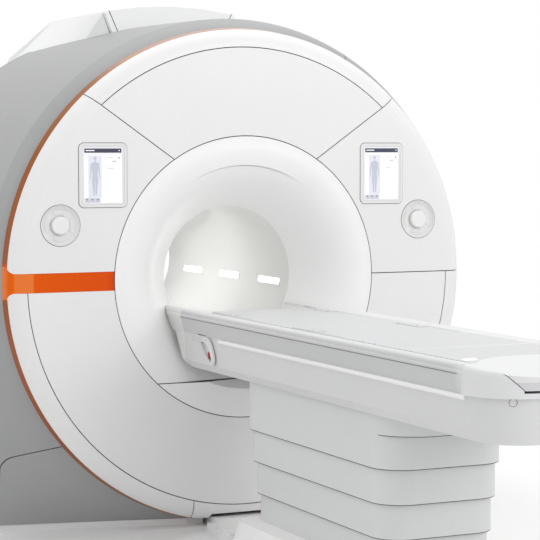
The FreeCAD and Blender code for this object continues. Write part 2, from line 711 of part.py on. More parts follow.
def light_block(number, side, inner, outer, grow):
    """Sector of a tube at a bore light's place."""
    start = LIGHT_START + number * LIGHT_PITCH - grow
    end = LIGHT_START + number * LIGHT_PITCH + LIGHT_LENGTH + grow
    spread = LIGHT_SPAN / 2 + math.degrees(grow / BORE_R)
    face = Part.Face(loop([(inner, start), (outer, start), (outer, end), (inner, end)],
                          lambda r, y: V(r, y, 0)))
    sector = face.revolve(V(0, 0, 0), Y_AXIS, 2 * spread)
    sector.rotate(V(0, 0, 0), Y_AXIS, LIGHT_ANGLE - spread)
    return sector if side > 0 else mirrored(sector)


def light_places():
    return [(number, side) for number in range(LIGHT_COUNT) for side in (-1, 1)]


def bore_liner():
    """Tube that lines the bore, with the body coil round it on two rings, and windows for the lights."""
    liner = tube(BORE_R, LINER_R, BORE_START, REAR_SEAM_Y)
    for start in (BODY_COIL_START + LINER_RING, BODY_COIL_END - 2 * LINER_RING):
        liner = liner.fuse(tube(LINER_R - 1, BODY_COIL_INNER + 1, start, start + LINER_RING))
    liner = liner.fuse(tube(BODY_COIL_INNER, GRADIENT_INNER - SEAT, BODY_COIL_START, BODY_COIL_END))
    for number, side in light_places():
        liner = liner.cut(light_block(number, side, BORE_R - 5, LINER_R + 5, SEAT))
        flange_top = LINER_R + LIGHT_FLANGE_THICK + SEAT
        liner = liner.cut(light_block(number, side, LINER_R, flange_top, LIGHT_FLANGE + SEAT))
    return one(liner)


def bore_lights():
    """Six light lenses, each with a flange behind the liner."""
    lenses = []
    for number, side in light_places():
        lens = light_block(number, side, BORE_R, LINER_R + 1, 0)
        flange = light_block(number, side, LINER_R, LINER_R + LIGHT_FLANGE_THICK, LIGHT_FLANGE)
        lenses.append(one(lens.fuse(flange)))
    return Part.makeCompound(lenses)


def bore_bridge():
    """Bridge along the bore's bottom that the board runs on."""
    plate_top = TRAY_BOTTOM - SEAT
    plate_bottom = plate_top - BRIDGE_PLATE
    inside = BORE_R - SEAT
    half = math.sqrt(inside ** 2 - plate_bottom ** 2)
    end = REAR_SEAM_Y - SEAT
    bridge = block((-half, BRIDGE_START, plate_bottom), (half, end, plate_top))
    top = block((-BORE_R, BRIDGE_TOP_START, plate_top), (BORE_R, end, KEEL_FLOOR))
    bridge = bridge.fuse(top.common(disc(inside, -FAR, FAR)))
    for x in (-BRIDGE_RIB_X, BRIDGE_RIB_X):
        rib = block((x - BRIDGE_RIB_HALF, BRIDGE_RIB_START, -BORE_R),
                    (x + BRIDGE_RIB_HALF, end, plate_bottom))
        bridge = bridge.fuse(rib.common(disc(inside, -FAR, FAR)))
    return one(bridge)


# ---- Displays, dishes, knobs and buttons

def display_bezel(side):
    """Display box with a rounded bezel, and a flange behind the cover."""
    front = FACE_Y - DISPLAY_PROUD
    back = FACE_Y + DISPLAY_DEEP
    box = display_block(side, 0, front, back)
    flange_start = FACE_Y + SKIN
    box = box.fuse(display_block(side, FLANGE, flange_start, flange_start + FLANGE_THICK))
    return one(box.cut(display_block(side, -DISPLAY_EDGE, front - 1, back - FLANGE_THICK)))


def display_screen(side):
    """Screen module seated in the box."""
    grow = -DISPLAY_EDGE - SEAT
    start = FACE_Y - DISPLAY_PROUD + SCREEN_SUNK
    return display_block(side, grow, start, FACE_Y + DISPLAY_DEEP - FLANGE_THICK - SEAT)


def arc_block(side, quarter, grow, start, end):
    """Arc-shaped block with round corners at a button's place: quarter 0 is right, 1 up, 2 left, 3 down."""
    spread = BUTTON_SPAN / 2 + math.degrees(grow / BUTTON_OUTER)
    first = math.radians(90 * quarter - spread)
    last = math.radians(90 * quarter + spread)
    middle = math.radians(90 * quarter)
    inner = BUTTON_INNER - grow
    outer = BUTTON_OUTER + grow

    def at(radius, angle):
        return (side * DISH_X + radius * math.cos(angle), DISH_Z + radius * math.sin(angle))

    arc = along_y([
        at(inner, first), at(outer, first), at(outer, middle) + at(outer, last),
        at(inner, last), at(inner, middle) + at(inner, first),
    ], start, end)
    corners = [edge for edge in arc.Edges if edge.BoundBox.YLength > (end - start) / 2]
    return arc.makeFillet(BUTTON_CORNER + grow, corners)


def control_dish(side):
    """Round dish for the knob and its four buttons, with a flange behind the cover."""
    floor = FACE_Y + DISH_DEPTH
    pocket = floor + KNOB_POCKET_DEEP
    back = floor + DISH_BACK
    flange_start = FACE_Y + SKIN
    lip = FACE_Y - LIP_PROUD
    slope_top = DISH_R - LIP_FLAT
    slope_mid = ((DISH_FLOOR_R + slope_top) / 2, (floor + lip) / 2 + DISH_SLOPE_SAG)
    dish = turned([
        (SHAFT_R + SHAFT_PLAY, pocket), (KNOB_POCKET_R, pocket), (KNOB_POCKET_R, floor),
        (DISH_FLOOR_R, floor), slope_mid + (slope_top, lip), (DISH_R, lip), (DISH_R, flange_start),
        (DISH_R + FLANGE, flange_start), (DISH_R + FLANGE, flange_start + FLANGE_THICK),
        (DISH_R, flange_start + FLANGE_THICK), (DISH_R, back), (SHAFT_R + SHAFT_PLAY, back),
    ], side * DISH_X, DISH_Z)
    for quarter in range(4):
        bottom = button_front() + BUTTON_DEEP + BUTTON_TRAVEL + RUN
        dish = dish.cut(arc_block(side, quarter, BUTTON_PLAY, FACE_Y - FAR, bottom))
    return dish


def button_front():
    """Front face of the arc buttons."""
    return FACE_Y + DISH_DEPTH - BUTTON_PROUD


def arc_button(side, quarter):
    front = button_front()
    return arc_block(side, quarter, 0, front, front + BUTTON_DEEP)


def knob(side):
    """Turning knob on its shaft, held by a ring behind the dish."""
    back = FACE_Y + DISH_DEPTH + KNOB_POCKET_DEEP - RUN
    front = back - KNOB_TALL
    dish_back = FACE_Y + DISH_DEPTH + DISH_BACK + RUN
    near = KNOB_ROUND * (1 - math.sqrt(0.5))
    return turned([
        (0, front), (KNOB_R - KNOB_ROUND, front), (KNOB_R - near, front + near, KNOB_R, front + KNOB_ROUND),
        (KNOB_R, back), (SHAFT_R, back), (SHAFT_R, dish_back), (CIRCLIP_R, dish_back),
        (CIRCLIP_R, dish_back + CIRCLIP_THICK), (0, dish_back + CIRCLIP_THICK),
    ], side * DISH_X, DISH_Z)


# ---- Side, lower and rear housing

def housing_turned(wall):
    """Solid of the housing's turned upper form, moved in by a wall."""
    front = HOUSING_START if wall == 0 else HOUSING_START - FAR
    points = [(0, front), (HOUSING_FRONT_R - wall, front)]
    if wall:
        points.append((HOUSING_FRONT_R - wall, HOUSING_START))
    points += [
        (SHOULDER_MID_R - wall, SHOULDER_MID_Y, SHOULDER_R - wall, SHOULDER_Y),
        (BELLY_R - wall, BELLY_Y, TAIL_R - wall, TAIL_Y),
        (TAIL_MID_R - wall, TAIL_MID_Y, REAR_EDGE_R - wall, REAR_Y - wall), (0, REAR_Y - wall),
    ]
    return turned(points)


def housing_level(height, wall):
    """Plan section of the lower housing at a height below the axis."""
    share = -height / ISO_HEIGHT
    lean = 1 - FOOT_TAPER * share
    rim_half = math.sqrt(max(HOUSING_FRONT_R ** 2 - height ** 2, (DOOR_HALF + SEAM) ** 2)) - wall
    blend = share ** 2
    corner_y = SHOULDER_Y + (APRON_BACK - SHOULDER_Y) * blend
    start = HOUSING_START
    shoulder = lean * SHOULDER_R - wall
    slack = (1 - blend) * (SHOULDER_MID_R - (HOUSING_FRONT_R + SHOULDER_R) / 2)
    mid = ((rim_half + shoulder) / 2 + slack, (start + corner_y) / 2 + wall * share)
    right = [
        (rim_half, start + (wall if wall else 0)), mid + (shoulder, corner_y + wall * share),
        (lean * BELLY_R - wall, BELLY_Y, lean * TAIL_R - wall, TAIL_Y),
        (lean * TAIL_MID_R - wall, TAIL_MID_Y, lean * REAR_EDGE_R - wall, REAR_Y - wall),
    ]
    left = [
        (-lean * REAR_EDGE_R + wall, REAR_Y - wall),
        (-lean * TAIL_MID_R + wall, TAIL_MID_Y, -lean * TAIL_R + wall, TAIL_Y),
        (-lean * BELLY_R + wall, BELLY_Y, -shoulder, corner_y + wall * share),
        (-mid[0], mid[1]) + (-rim_half, right[0][1]),
    ]
    return loop(right + left, lambda x, y: V(x, y, height))


def housing_lower(wall):
    """Solid of the lower housing, lofted between plan sections down to the plinth."""
    deepest = math.asin(min(-PLINTH_TOP / HOUSING_FRONT_R, 1))
    levels = [-HOUSING_FRONT_R * math.sin(deepest * number / APRON_LEVELS)
              for number in range(APRON_LEVELS + 1)]
    return Part.makeLoft([housing_level(height, wall) for height in levels], True, False)


def housing_shell():
    """The whole housing as one wall, open at the front and at the bottom."""
    upper = housing_turned(0).cut(housing_turned(HOUSING_WALL)).cut(below(0))
    inner = housing_lower(HOUSING_WALL)
    front_half = HOUSING_FRONT_R - HOUSING_WALL
    throat = disc(front_half, -FAR, HOUSING_START + HOUSING_WALL + 1).cut(above(0))
    lower = housing_lower(0).cut(inner).cut(throat)
    shell = one(upper.fuse(lower))
    mouth = disc(REAR_MOUTH_R + SEAT, REAR_Y - 3 * HOUSING_WALL, FAR)
    hatch_half = TURRET_HALF - HATCH_INSET
    hatch = block((-hatch_half, TURRET_FRONT + HATCH_INSET, 0),
                  (hatch_half, REAR_SEAM_Y - HATCH_INSET / 2, FAR))
    return shell.cut(mouth).cut(hatch)


def lower_cover_block(shift):
    """Region of the left lower front cover as seen from the front, grown by a shift."""
    inner_x, inner_z = LOWER_SEAM_IN
    outer_x, outer_z = LOWER_SEAM_OUT
    slope = (outer_z - inner_z) / (outer_x - inner_x)
    top = slope * inner_x - inner_z + shift
    turn = LOWER_SEAM_ROUND
    near = turn * (1 - math.sqrt(0.5))
    side = -outer_x - shift
    corner = top + slope * side
    start_x = side + turn
    return along_y([
        (0, top), (start_x, top + slope * start_x), (side + near, corner - near, side, corner - turn),
        (side, -FAR), (0, -FAR),
    ], -1, LOWER_COVER_BACK + SEAM / 2 + shift)


def side_seam_block(shift):
    """Everything right of the right-hand cover joint, moved by a shift square to it."""
    angle = math.radians(SIDE_SEAM_ANGLE)
    along = (math.cos(angle), math.sin(angle))
    start = (shift * along[1], -shift * along[0])
    return along_y([
        start, (start[0] + FAR * along[0], start[1] + FAR * along[1]), (2 * FAR, FAR), (2 * FAR, -2 * FAR),
        (start[0], -2 * FAR),
    ], -1, FAR)


def left_side_cover(shell):
    cover = shell.cut(block((-FAR, REAR_SEAM_Y - SEAM / 2, -FAR), (FAR, FAR, FAR)))
    cover = cover.cut(side_seam_block(-SEAM / 2)).cut(block((0, -FAR, -FAR), (FAR, FAR, 0)))
    return cover.cut(lower_cover_block(SEAM / 2))


def right_side_cover(shell):
    cover = shell.cut(block((-FAR, REAR_SEAM_Y - SEAM / 2, -FAR), (FAR, FAR, FAR)))
    cover = cover.common(side_seam_block(SEAM / 2))
    return cover.cut(mirrored(lower_cover_block(SEAM / 2)))


def left_lower_cover(shell):
    left_half = shell.common(block((-FAR, -1, -FAR), (0, FAR, 0)))
    return left_half.common(lower_cover_block(-SEAM / 2))


def rear_cover(shell):
    """Rear wall of the housing with its own short funnel."""
    cover = shell.common(block((-FAR, REAR_SEAM_Y + SEAM / 2, -FAR), (FAR, FAR, FAR)))
    wall = HOUSING_WALL
    mouth = turned([
        (REAR_MOUTH_R + REAR_MOUTH_LAP, REAR_Y - wall), (REAR_MOUTH_R + REAR_MOUTH_LAP, REAR_Y),
        (REAR_MOUTH_R, REAR_Y),
        (BORE_R, REAR_SEAM_Y + SEAT), (BORE_R + wall, REAR_SEAM_Y + SEAT),
        (REAR_MOUTH_R + wall, REAR_Y - wall),
    ])
    return one(cover.fuse(mouth))


def plinth():
    """Low wall round the gantry's foot, open at the front for the floor duct."""
    lean = 1 - FOOT_TAPER
    side = lean * SHOULDER_R - PLINTH_INSET
    back = REAR_Y - 2 * HOUSING_WALL
    front_half = math.sqrt(HOUSING_FRONT_R ** 2 - FLAT_CUT ** 2)

    def outline(inset):
        return [
            (front_half, HOUSING_START + inset), (side - inset, APRON_BACK + inset),
            (side - inset, back - inset), (-side + inset, back - inset),
            (-side + inset, APRON_BACK + inset), (-front_half, HOUSING_START + inset),
        ]

    wall = upright(outline(0), FLOOR_Z, PLINTH_TOP)
    wall = wall.cut(upright(outline(PLINTH_WALL), FLOOR_Z - 1, PLINTH_TOP + 1))
    gap = DOOR_HALF + SEAM
    return wall.cut(block((-gap, -FAR, -FAR), (gap, APRON_BACK, 0)))


# ---- Turret

def turret_form(wall):
    """Solid of the turret, moved in by a wall."""
    half = TURRET_HALF - wall
    top = TURRET_TOP - wall
    edge = TURRET_EDGE - wall
    turn = TURRET_ROUND - wall
    near = turn * (1 - math.sqrt(0.5))
    section = along_y([
        (-half, 0), (-half, edge - turn), (-half + near, edge - near, -half + turn, edge),
        (0, top, half - turn, edge), (half - near, edge - near, half, edge - turn), (half, 0),
    ], TURRET_FRONT + wall, TURRET_FOOT - wall)
    side_view = along_x([
        (TURRET_FRONT - 1, 0), (TURRET_FRONT - 1, TURRET_TOP + 1), (TURRET_REAR, TURRET_TOP + 1 - wall),
        (TURRET_FOOT - wall, TURRET_FOOT_TOP - wall), (TURRET_FOOT, 0),
    ], -FAR, FAR)
    return section.common(side_view)


def turret():
    shell = turret_form(0).cut(turret_form(TURRET_WALL))
    return shell.cut(housing_turned(0)).cut(disc(SHOULDER_R - TURRET_LAP, -FAR, FAR))


def turret_front(shell):
    return shell.common(block((-FAR, 0, 0), (FAR, TURRET_FRONT + TURRET_CAP, FAR)))


def turret_rear(shell):
    start = TURRET_FRONT + TURRET_CAP + TURRET_SEAM
    rear = shell.common(block((-FAR, start, 0), (FAR, FAR, FAR)))
    groove_start = start + TURRET_BAND
    groove = turret_form(0).cut(turret_form(TURRET_SEAM))
    return rear.cut(groove.common(block((-FAR, groove_start, 0), (FAR, groove_start + TURRET_SEAM, FAR))))


# ---- Magnet and coils

def vessel_form(wall):
    """Solid of the vessel, moved in by a wall."""
    turn = VESSEL_ROUND - wall
    near = turn * (1 - math.sqrt(0.5))
    start = VESSEL_START + wall
    end = VESSEL_END - wall
    outer = VESSEL_R - wall
    return turned([
        (VESSEL_BORE + wall, start), (outer - turn, start), (outer - near, start + near, outer, start + turn),
        (outer, end - turn), (outer - near, end - near, outer - turn, end), (VESSEL_BORE + wall, end),
    ])


def magnet_vessel():
    """Closed hollow drum of the cryostat."""
    return vessel_form(0).cut(vessel_form(VESSEL_WALL))


def magnet_cold_mass():
    """Coils on their former, with struts out to the vessel's wall at both ends."""
    start = VESSEL_START + COLD_MASS_INSET
    end = VESSEL_END - COLD_MASS_INSET
    mass = tube(COLD_MASS_INNER, COLD_MASS_OUTER, start, end)
    reach = VESSEL_R - VESSEL_WALL - COLD_MASS_OUTER
    for y in (VESSEL_START + STRUT_INSET, VESSEL_END - STRUT_INSET):
        for number in range(STRUT_COUNT):
            angle = math.radians((number + 0.5) * 360 / STRUT_COUNT)
            out = V(math.cos(angle), 0, math.sin(angle))
            root = V(0, y, 0) + out * (COLD_MASS_OUTER - 1)
            mass = mass.fuse(Part.makeCylinder(STRUT_R, reach + 1, root, out))
    return mass.common(disc(VESSEL_R - VESSEL_WALL, start, end))


def gradient_coil():
    return tube(GRADIENT_INNER, VESSEL_BORE - SEAT, GRADIENT_START, GRADIENT_END)


def magnet_feet():
    """Four feet with floor pads under the vessel."""
    feet = []
    for x in (-FOOT_X, FOOT_X):
        for y in (VESSEL_START + FOOT_Y, VESSEL_END - FOOT_Y):
            half = FOOT_WIDE / 2
            pad = FOOT_PAD / 2
            leg = block((x - half, y - half, FLOOR_Z), (x + half, y + half, -VESSEL_R / 2))
            foot = leg.fuse(block((x - pad, y - pad, FLOOR_Z), (x + pad, y + pad, FLOOR_Z + FOOT_PAD_TALL)))
            feet.append(one(foot.cut(disc(VESSEL_R + SEAT, -FAR, FAR))))
    return Part.makeCompound(feet)


def cold_head():
    """Cooling head on the vessel, inside the turret."""
    low = VESSEL_R / 2
    body = Part.makeCylinder(COLD_HEAD_R, COLD_HEAD_TOP - low, V(0, COLD_HEAD_Y, low), Z_AXIS)
    flange_tall = VESSEL_R + COLD_FLANGE_TALL - low
    flange = Part.makeCylinder(COLD_FLANGE_R, flange_tall, V(0, COLD_HEAD_Y, low), Z_AXIS)
    motor_place = V(0, COLD_HEAD_Y - 2 * COLD_HEAD_R, COLD_HEAD_TOP - COLD_HEAD_R)
    motor = Part.makeCylinder(COLD_MOTOR_R, 2 * COLD_HEAD_R, motor_place, Y_AXIS)
    return one(body.fuse(flange).fuse(motor).cut(disc(VESSEL_R + SEAT, -FAR, FAR)))


# ---- Patient table

def tray_section(start, end):
    """The tray's outer form along Y, with its rail and undercut side."""
    half = along_y([
        (0, TRAY_BOTTOM), (TRAY_FOOT_X, TRAY_BOTTOM), (LIP_X, LIP_Z - LIP_EDGE),
        (LIP_X + 1, LIP_Z, LIP_X - 1.5, LIP_Z + LIP_RISE),
        (CREST_X + CREST_ROUND, CREST_Z - CREST_FALL, CREST_X, CREST_Z),
        (RAIL_INNER, BOARD_TOP), (RAIL_INNER - 4, BOARD_TOP - 1), (0, BOARD_TOP - 1),
    ], start, end)
    return one(half.fuse(mirrored(half)))


def channel(floor, start, end):
    """Space in the tray for the board and its keel."""
    top = BOARD_HALF + BOARD_SIDE_GAP
    foot = BOARD_FOOT_HALF + BOARD_SIDE_GAP
    edge = BOARD_TOP - BOARD_EDGE
    return along_y([
        (-top, 0), (top, 0), (top, edge), (foot, BOARD_BOTTOM), (foot, floor), (-foot, floor),
        (-foot, BOARD_BOTTOM), (-top, edge),
    ], start, end)


def body_section(wall, start, end):
    """The body's form along Y, moved in by a wall."""
    half = BODY_HALF - wall
    low = half - BODY_LEAN
    bottom = BODY_BOTTOM + wall
    knee = BODY_BOTTOM + BODY_CHAMFER
    return along_y([
        (half, TRAY_BOTTOM), (low, knee), (low - BODY_CHAMFER_IN, bottom), (-low + BODY_CHAMFER_IN, bottom),
        (-low, knee), (-half, TRAY_BOTTOM),
    ], start, end)


def head_profile(start, end):
    """Side view of the table's head end, kept between two depths."""
    bottom = BODY_BOTTOM
    turn_y = (NOSE_BODY_LOW_Y + NOSE_BODY_ROUND_Y) / 2
    turn_z = bottom + NOSE_BODY_LOW * NOSE_ROUND_SHARE
    form = along_x([
        (TABLE_END - 1, 0), (NOSE_TOP_Y, 0), (NOSE_TOP_Y, BOARD_TOP),
        (NOSE_FOOT_Y + NOSE_FOOT_IN, TRAY_BOTTOM + NOSE_FOOT_UP), (NOSE_FOOT_Y, TRAY_BOTTOM),
        (NOSE_BODY_TOP_Y, TRAY_BOTTOM), (NOSE_BODY_LOW_Y, bottom + NOSE_BODY_LOW),
        (turn_y, turn_z, NOSE_BODY_ROUND_Y, bottom), (TABLE_END - 1, bottom),
    ], -FAR, FAR)
    return form.common(block((-FAR, start, -FAR), (FAR, end, FAR)))


def funnel_space(play):
    """Space inside the funnel, less a play."""
    return turned([
        (0, -FAR), (CREASE_R - play, -FAR), (CREASE_R - play, CREASE_Y), (BORE_R - play, BORE_START),
        (BORE_R - play, FAR), (0, FAR),
    ])


def bridge_nose():
    """Fixed end of the table form inside the funnel, which the table docks against."""
    start = NOSE_SPLIT + NOSE_GAP / 2
    form = tray_section(start, NOSE_TOP_Y).fuse(body_section(0, start, NOSE_TOP_Y))
    hollow = body_section(BODY_WALL, start - 1, NOSE_BODY_TOP_Y - 2 * BODY_WALL)
    sloped = hollow.common(head_profile(-FAR, FAR).translate(V(0, -2 * BODY_WALL, BODY_WALL)))
    form = form.cut(sloped).cut(channel(KEEL_FLOOR, start - 1, NOSE_TOP_Y + 1))
    form = one(form.common(head_profile(start, NOSE_TOP_Y)).common(funnel_space(NOSE_CLEAR)))
    return form.cut(bore_bridge())


def rolled_end(rise):
    """Space above the table's top where it rolls down to the patient end, moved up by a rise."""
    top = BOARD_TOP + rise
    drop_mid = (TABLE_END + BOARD_DROP_START) / 2
    return along_x([
        (BOARD_DROP_START, top), (drop_mid, top - BOARD_DROP / 4, TABLE_END - 1, top - BOARD_DROP),
        (TABLE_END - 1, top + BOARD_DROP), (BOARD_DROP_START, top + BOARD_DROP),
    ], -FAR, FAR)


def table_tray():
    """Moving tray with rails at both sides, round at the patient end."""
    end = NOSE_SPLIT - NOSE_GAP / 2
    crest_rise = CREST_Z - BOARD_TOP
    cap = upright(bullet(LIP_X, TABLE_END, TRAY_END_STRAIGHT, TABLE_CORNER), TRAY_BOTTOM, CREST_Z)
    cap = cap.cut(rolled_end(crest_rise))
    rim = [edge for edge in cap.Edges
           if edge.BoundBox.ZMin > CREST_Z - 2 * BOARD_DROP and edge.BoundBox.YMax < TRAY_END_STRAIGHT + 1
           and edge.BoundBox.YMin < TRAY_END_STRAIGHT - 1]
    cap = cap.makeFillet(LIP_X - CREST_X, rim)
    tray = tray_section(TRAY_END_STRAIGHT, end).cut(rolled_end(crest_rise)).fuse(cap)
    tray = tray.common(head_profile(-FAR, end))
    tray = tray.cut(channel(KEEL_FLOOR, TABLE_END + END_SILL, end + 1))
    tray = tray.cut(channel(BOARD_BOTTOM - BOARD_SLOT, TABLE_END - 1, TABLE_END + END_SILL + 1))
    notch = block((-FAR, NOTCH_END, -FAR),
                  (-TRAY_FOOT_X + NOTCH_DEEP, NOTCH_END + NOTCH_LONG, TRAY_BOTTOM + NOTCH_TALL))
    return one(tray.cut(notch))


def table_body():
    """Hollow body under the tray, with the lever's pocket in its left side."""
    end = NOSE_SPLIT - NOSE_GAP / 2
    wall = BODY_WALL
    corner = TABLE_CORNER - BODY_SETBACK
    patient_end = TABLE_END + BODY_SETBACK
    plan = upright(bullet(BODY_HALF, patient_end, end, corner), BODY_BOTTOM, TRAY_BOTTOM)
    body = body_section(0, patient_end, end).common(plan).common(head_profile(-FAR, end))
    inner_plan = upright(bullet(BODY_HALF - wall, patient_end + wall, end - wall, corner - wall),
                         BODY_BOTTOM + wall, TRAY_BOTTOM)
    inner = body_section(wall, patient_end, end - wall).common(inner_plan)
    body = body.cut(inner.common(head_profile(-FAR, FAR).translate(V(0, -wall, wall))))
    body = body.fuse(pocket_block(POCKET_BACK + 1, POCKET_DEEP + POCKET_BACK))
    body = body.cut(pocket_block(0, POCKET_DEEP).fuse(pin_hole()))
    return one(body)


def from_pin(points):
    """Outline points given from the lever's pin, as (depth, height) points."""
    return [sum(((LEVER_Y + pair[0], LEVER_Z + pair[1]) for pair in zip(item[::2], item[1::2])), ())
            for item in points]


def pocket_block(grow, depth):
    """Teardrop hollow beside the lever, in the body's left side."""
    form = along_x(from_pin([
        (85.0 + grow, -17.0 + grow), (19.0, -17.0 + grow, -16.0, -33.0 + grow),
        (-41.0 - grow, -57.0, -54.0 - grow, -80.0), (-48.0 - grow, -97.0 - grow, -27.0, -96.0 - grow),
        (29.0, -72.0 - grow, 85.0 + grow, -17.0 + grow),
    ]), -BODY_HALF - 1, -BODY_HALF + depth)
    outside = block((-FAR, -FAR, -FAR), (-BODY_HALF + BODY_LEAN, FAR, FAR))
    return form.cut(outside) if grow else form


def pin_hole():
    """Bearing hole of the lever's pin."""
    start = -BODY_HALF - 1
    radius = LEVER_PIN_R + LEVER_PIN_PLAY
    return Part.makeCylinder(radius, LEVER_PIN_DEEP + 2, V(start, LEVER_Y, LEVER_Z), X_AXIS)


def release_lever():
    """Curved hand lever on a pin."""
    inner = -BODY_HALF - LEVER_GAP
    plate = along_x(from_pin([
        (30.0, 8.5), (-17.0, 8.5), (-48.0, -17.0, -72.0, -59.0), (-74.0, -89.0, -48.0, -99.0),
        (-38.0, -95.0), (-52.0, -83.0, -46.0, -65.0), (-26.0, -33.0, 18.0, -14.0), (30.0, -9.0),
    ]), inner - LEVER_THICK, inner)
    pin = Part.makeCylinder(LEVER_PIN_R, LEVER_PIN_DEEP + LEVER_GAP + LEVER_THICK / 2,
                            V(inner - LEVER_THICK / 2, LEVER_Y, LEVER_Z), X_AXIS)
    return one(plate.fuse(pin))


def board_form():
    """The sliding board with its keel, before the foot panel is parted off."""
    edge = BOARD_TOP - BOARD_EDGE
    section = along_y([
        (-BOARD_HALF, BOARD_TOP), (BOARD_HALF, BOARD_TOP), (BOARD_HALF, edge), (BOARD_FOOT_HALF, BOARD_BOTTOM),
        (-BOARD_FOOT_HALF, BOARD_BOTTOM), (-BOARD_HALF, edge),
    ], TABLE_END, BOARD_HEAD)
    plan = rounded(-BOARD_HALF, BOARD_HALF, TABLE_END - BOARD_HEAD_CORNER, BOARD_HEAD, BOARD_HEAD_CORNER)
    board = section.common(upright(plan, BOARD_BOTTOM, BOARD_TOP))
    board = board.common(upright(bullet(LIP_X, TABLE_END, 0, TABLE_CORNER), BOARD_BOTTOM, BOARD_TOP))
    keel = block((-KEEL_HALF, TABLE_END + KEEL_END, KEEL_FLOOR + RUN),
                 (KEEL_HALF, BOARD_HEAD - KEEL_END, BOARD_BOTTOM))
    return one(board.cut(rolled_end(0)).fuse(keel))


def foot_panel_block(play):
    """Region beyond the arc seam of the foot panel, above the board's base."""
    side = BOARD_HALF + 1
    return upright([
        (-side, FOOT_PANEL_SIDE_Y - play), (0, FOOT_PANEL_Y - play, side, FOOT_PANEL_SIDE_Y - play),
        (side, TABLE_END - 1), (-side, TABLE_END - 1),
    ], BOARD_BOTTOM + BOARD_DROP, BOARD_TOP + 1)


def socket_block(side, head_y, bottom, top):
    """Raised cover of a coil socket."""
    x = side * SOCKET_X
    half = SOCKET_WIDE / 2
    outline = rounded(x - half, x + half, head_y - SOCKET_LONG, head_y, SOCKET_CORNER)
    return upright(outline, bottom, top)


def socket_places():
    return [(side, head_y) for side in (-1, 1) for head_y in SOCKET_Y]


def tabletop():
    """Sliding board with its raised socket covers and slots for straps."""
    board = board_form().cut(foot_panel_block(0))
    for side, head_y in socket_places():
        board = board.fuse(socket_block(side, head_y, BOARD_TOP - SOCKET_TALL, BOARD_TOP + SOCKET_TALL))
        end = head_y - SOCKET_LONG - STRAP_SLOT_BACK
        slot_x = side * (BOARD_HALF - STRAP_SLOT_IN)
        slot_half = STRAP_SLOT_WIDE / 2
        board = board.cut(block((slot_x - slot_half, end - STRAP_SLOT_LONG, BOARD_TOP - STRAP_SLOT_DEEP),
                                (slot_x + slot_half, end, BOARD_TOP + 1)))
    return one(board)


def foot_panel():
    return board_form().common(foot_panel_block(SEAT))


def slide_drive():
    """Motor and belt case under the tray."""
    top = TRAY_BOTTOM
    case = block((-DRIVE_WIDE / 2, DRIVE_Y - DRIVE_LONG / 2, top - DRIVE_TALL),
                 (DRIVE_WIDE / 2, DRIVE_Y + DRIVE_LONG / 2, top))
    motor = Part.makeCylinder(DRIVE_MOTOR_R, DRIVE_MOTOR_LONG,
                              V(DRIVE_WIDE / 2 - 1, DRIVE_Y, top - DRIVE_MOTOR_R - DRIVE_MOTOR_DOWN), X_AXIS)
    return one(case.fuse(motor))


# ---- Lift covers, column and floor base

def cover_outline(number, inset):
    """Plan outline of a lift cover, counted from the top, moved in by an inset."""
    half = COVER_HALF - number * COVER_STEP_X - inset
    end = COVER_END + number * COVER_STEP_END + inset
    head = COVER_HEAD - number * COVER_STEP_HEAD - inset
    return rounded(-half, half, end, head, COVER_CORNER - number * COVER_STEP_X - inset)


def lift_cover(number):
    """One cover of the telescope: a flange on top hangs on the lip of the cover above."""
    bottom = COVER_BOTTOM - number * COVER_PITCH
    if number == COVER_COUNT - 1:
        bottom = BASE_TOP
    top = BODY_BOTTOM
    if number:
        top = COVER_BOTTOM - (number - 1) * COVER_PITCH + 2 * COVER_LIP + SEAT
    cover = upright(cover_outline(number, 0), bottom, top)
    cover = cover.cut(upright(cover_outline(number, COVER_WALL), bottom - 1, top + 1))
    if number < COVER_COUNT - 1:
        lip = upright(cover_outline(number, 1), bottom, bottom + COVER_LIP)
        cover = cover.fuse(lip.cut(upright(cover_outline(number + 1, -COVER_LIP_PLAY), bottom - 1, top)))
    if number:
        flange = upright(cover_outline(number - 1, COVER_WALL + 1), top - COVER_LIP, top)
        cover = cover.fuse(flange.cut(upright(cover_outline(number, 1), bottom, top + 1)))
    else:
        cover = cover.fuse(collar())
    return one(cover)


def collar():
    """Collar of the top cover where it meets the table's underside, deeper at the patient end."""
    half = COVER_HALF - 1
    outline = rounded(-half, half, COVER_END - COLLAR_REACH, COVER_HEAD - 1, COVER_CORNER + COLLAR_REACH)
    ring = upright(outline, COLLAR_BOTTOM, BODY_BOTTOM)
    ring = ring.cut(upright(cover_outline(0, 1), COLLAR_BOTTOM - 1, BODY_BOTTOM + 1))
    return ring.common(block((-FAR, -FAR, -FAR), (FAR, COVER_END + COVER_CORNER, FAR)))


def column(half, wall, bottom, top):
    """Square tube of the lift."""
    outer = rounded(-half, half, LIFT_Y - half, LIFT_Y + half, LIFT_CORNER)
    inner_half = half - wall
    inner_corner = LIFT_CORNER - wall / 2
    inner = rounded(-inner_half, inner_half, LIFT_Y - inner_half, LIFT_Y + inner_half, inner_corner)
    return upright(outer, bottom, top).cut(upright(inner, bottom - 1, top + 1))


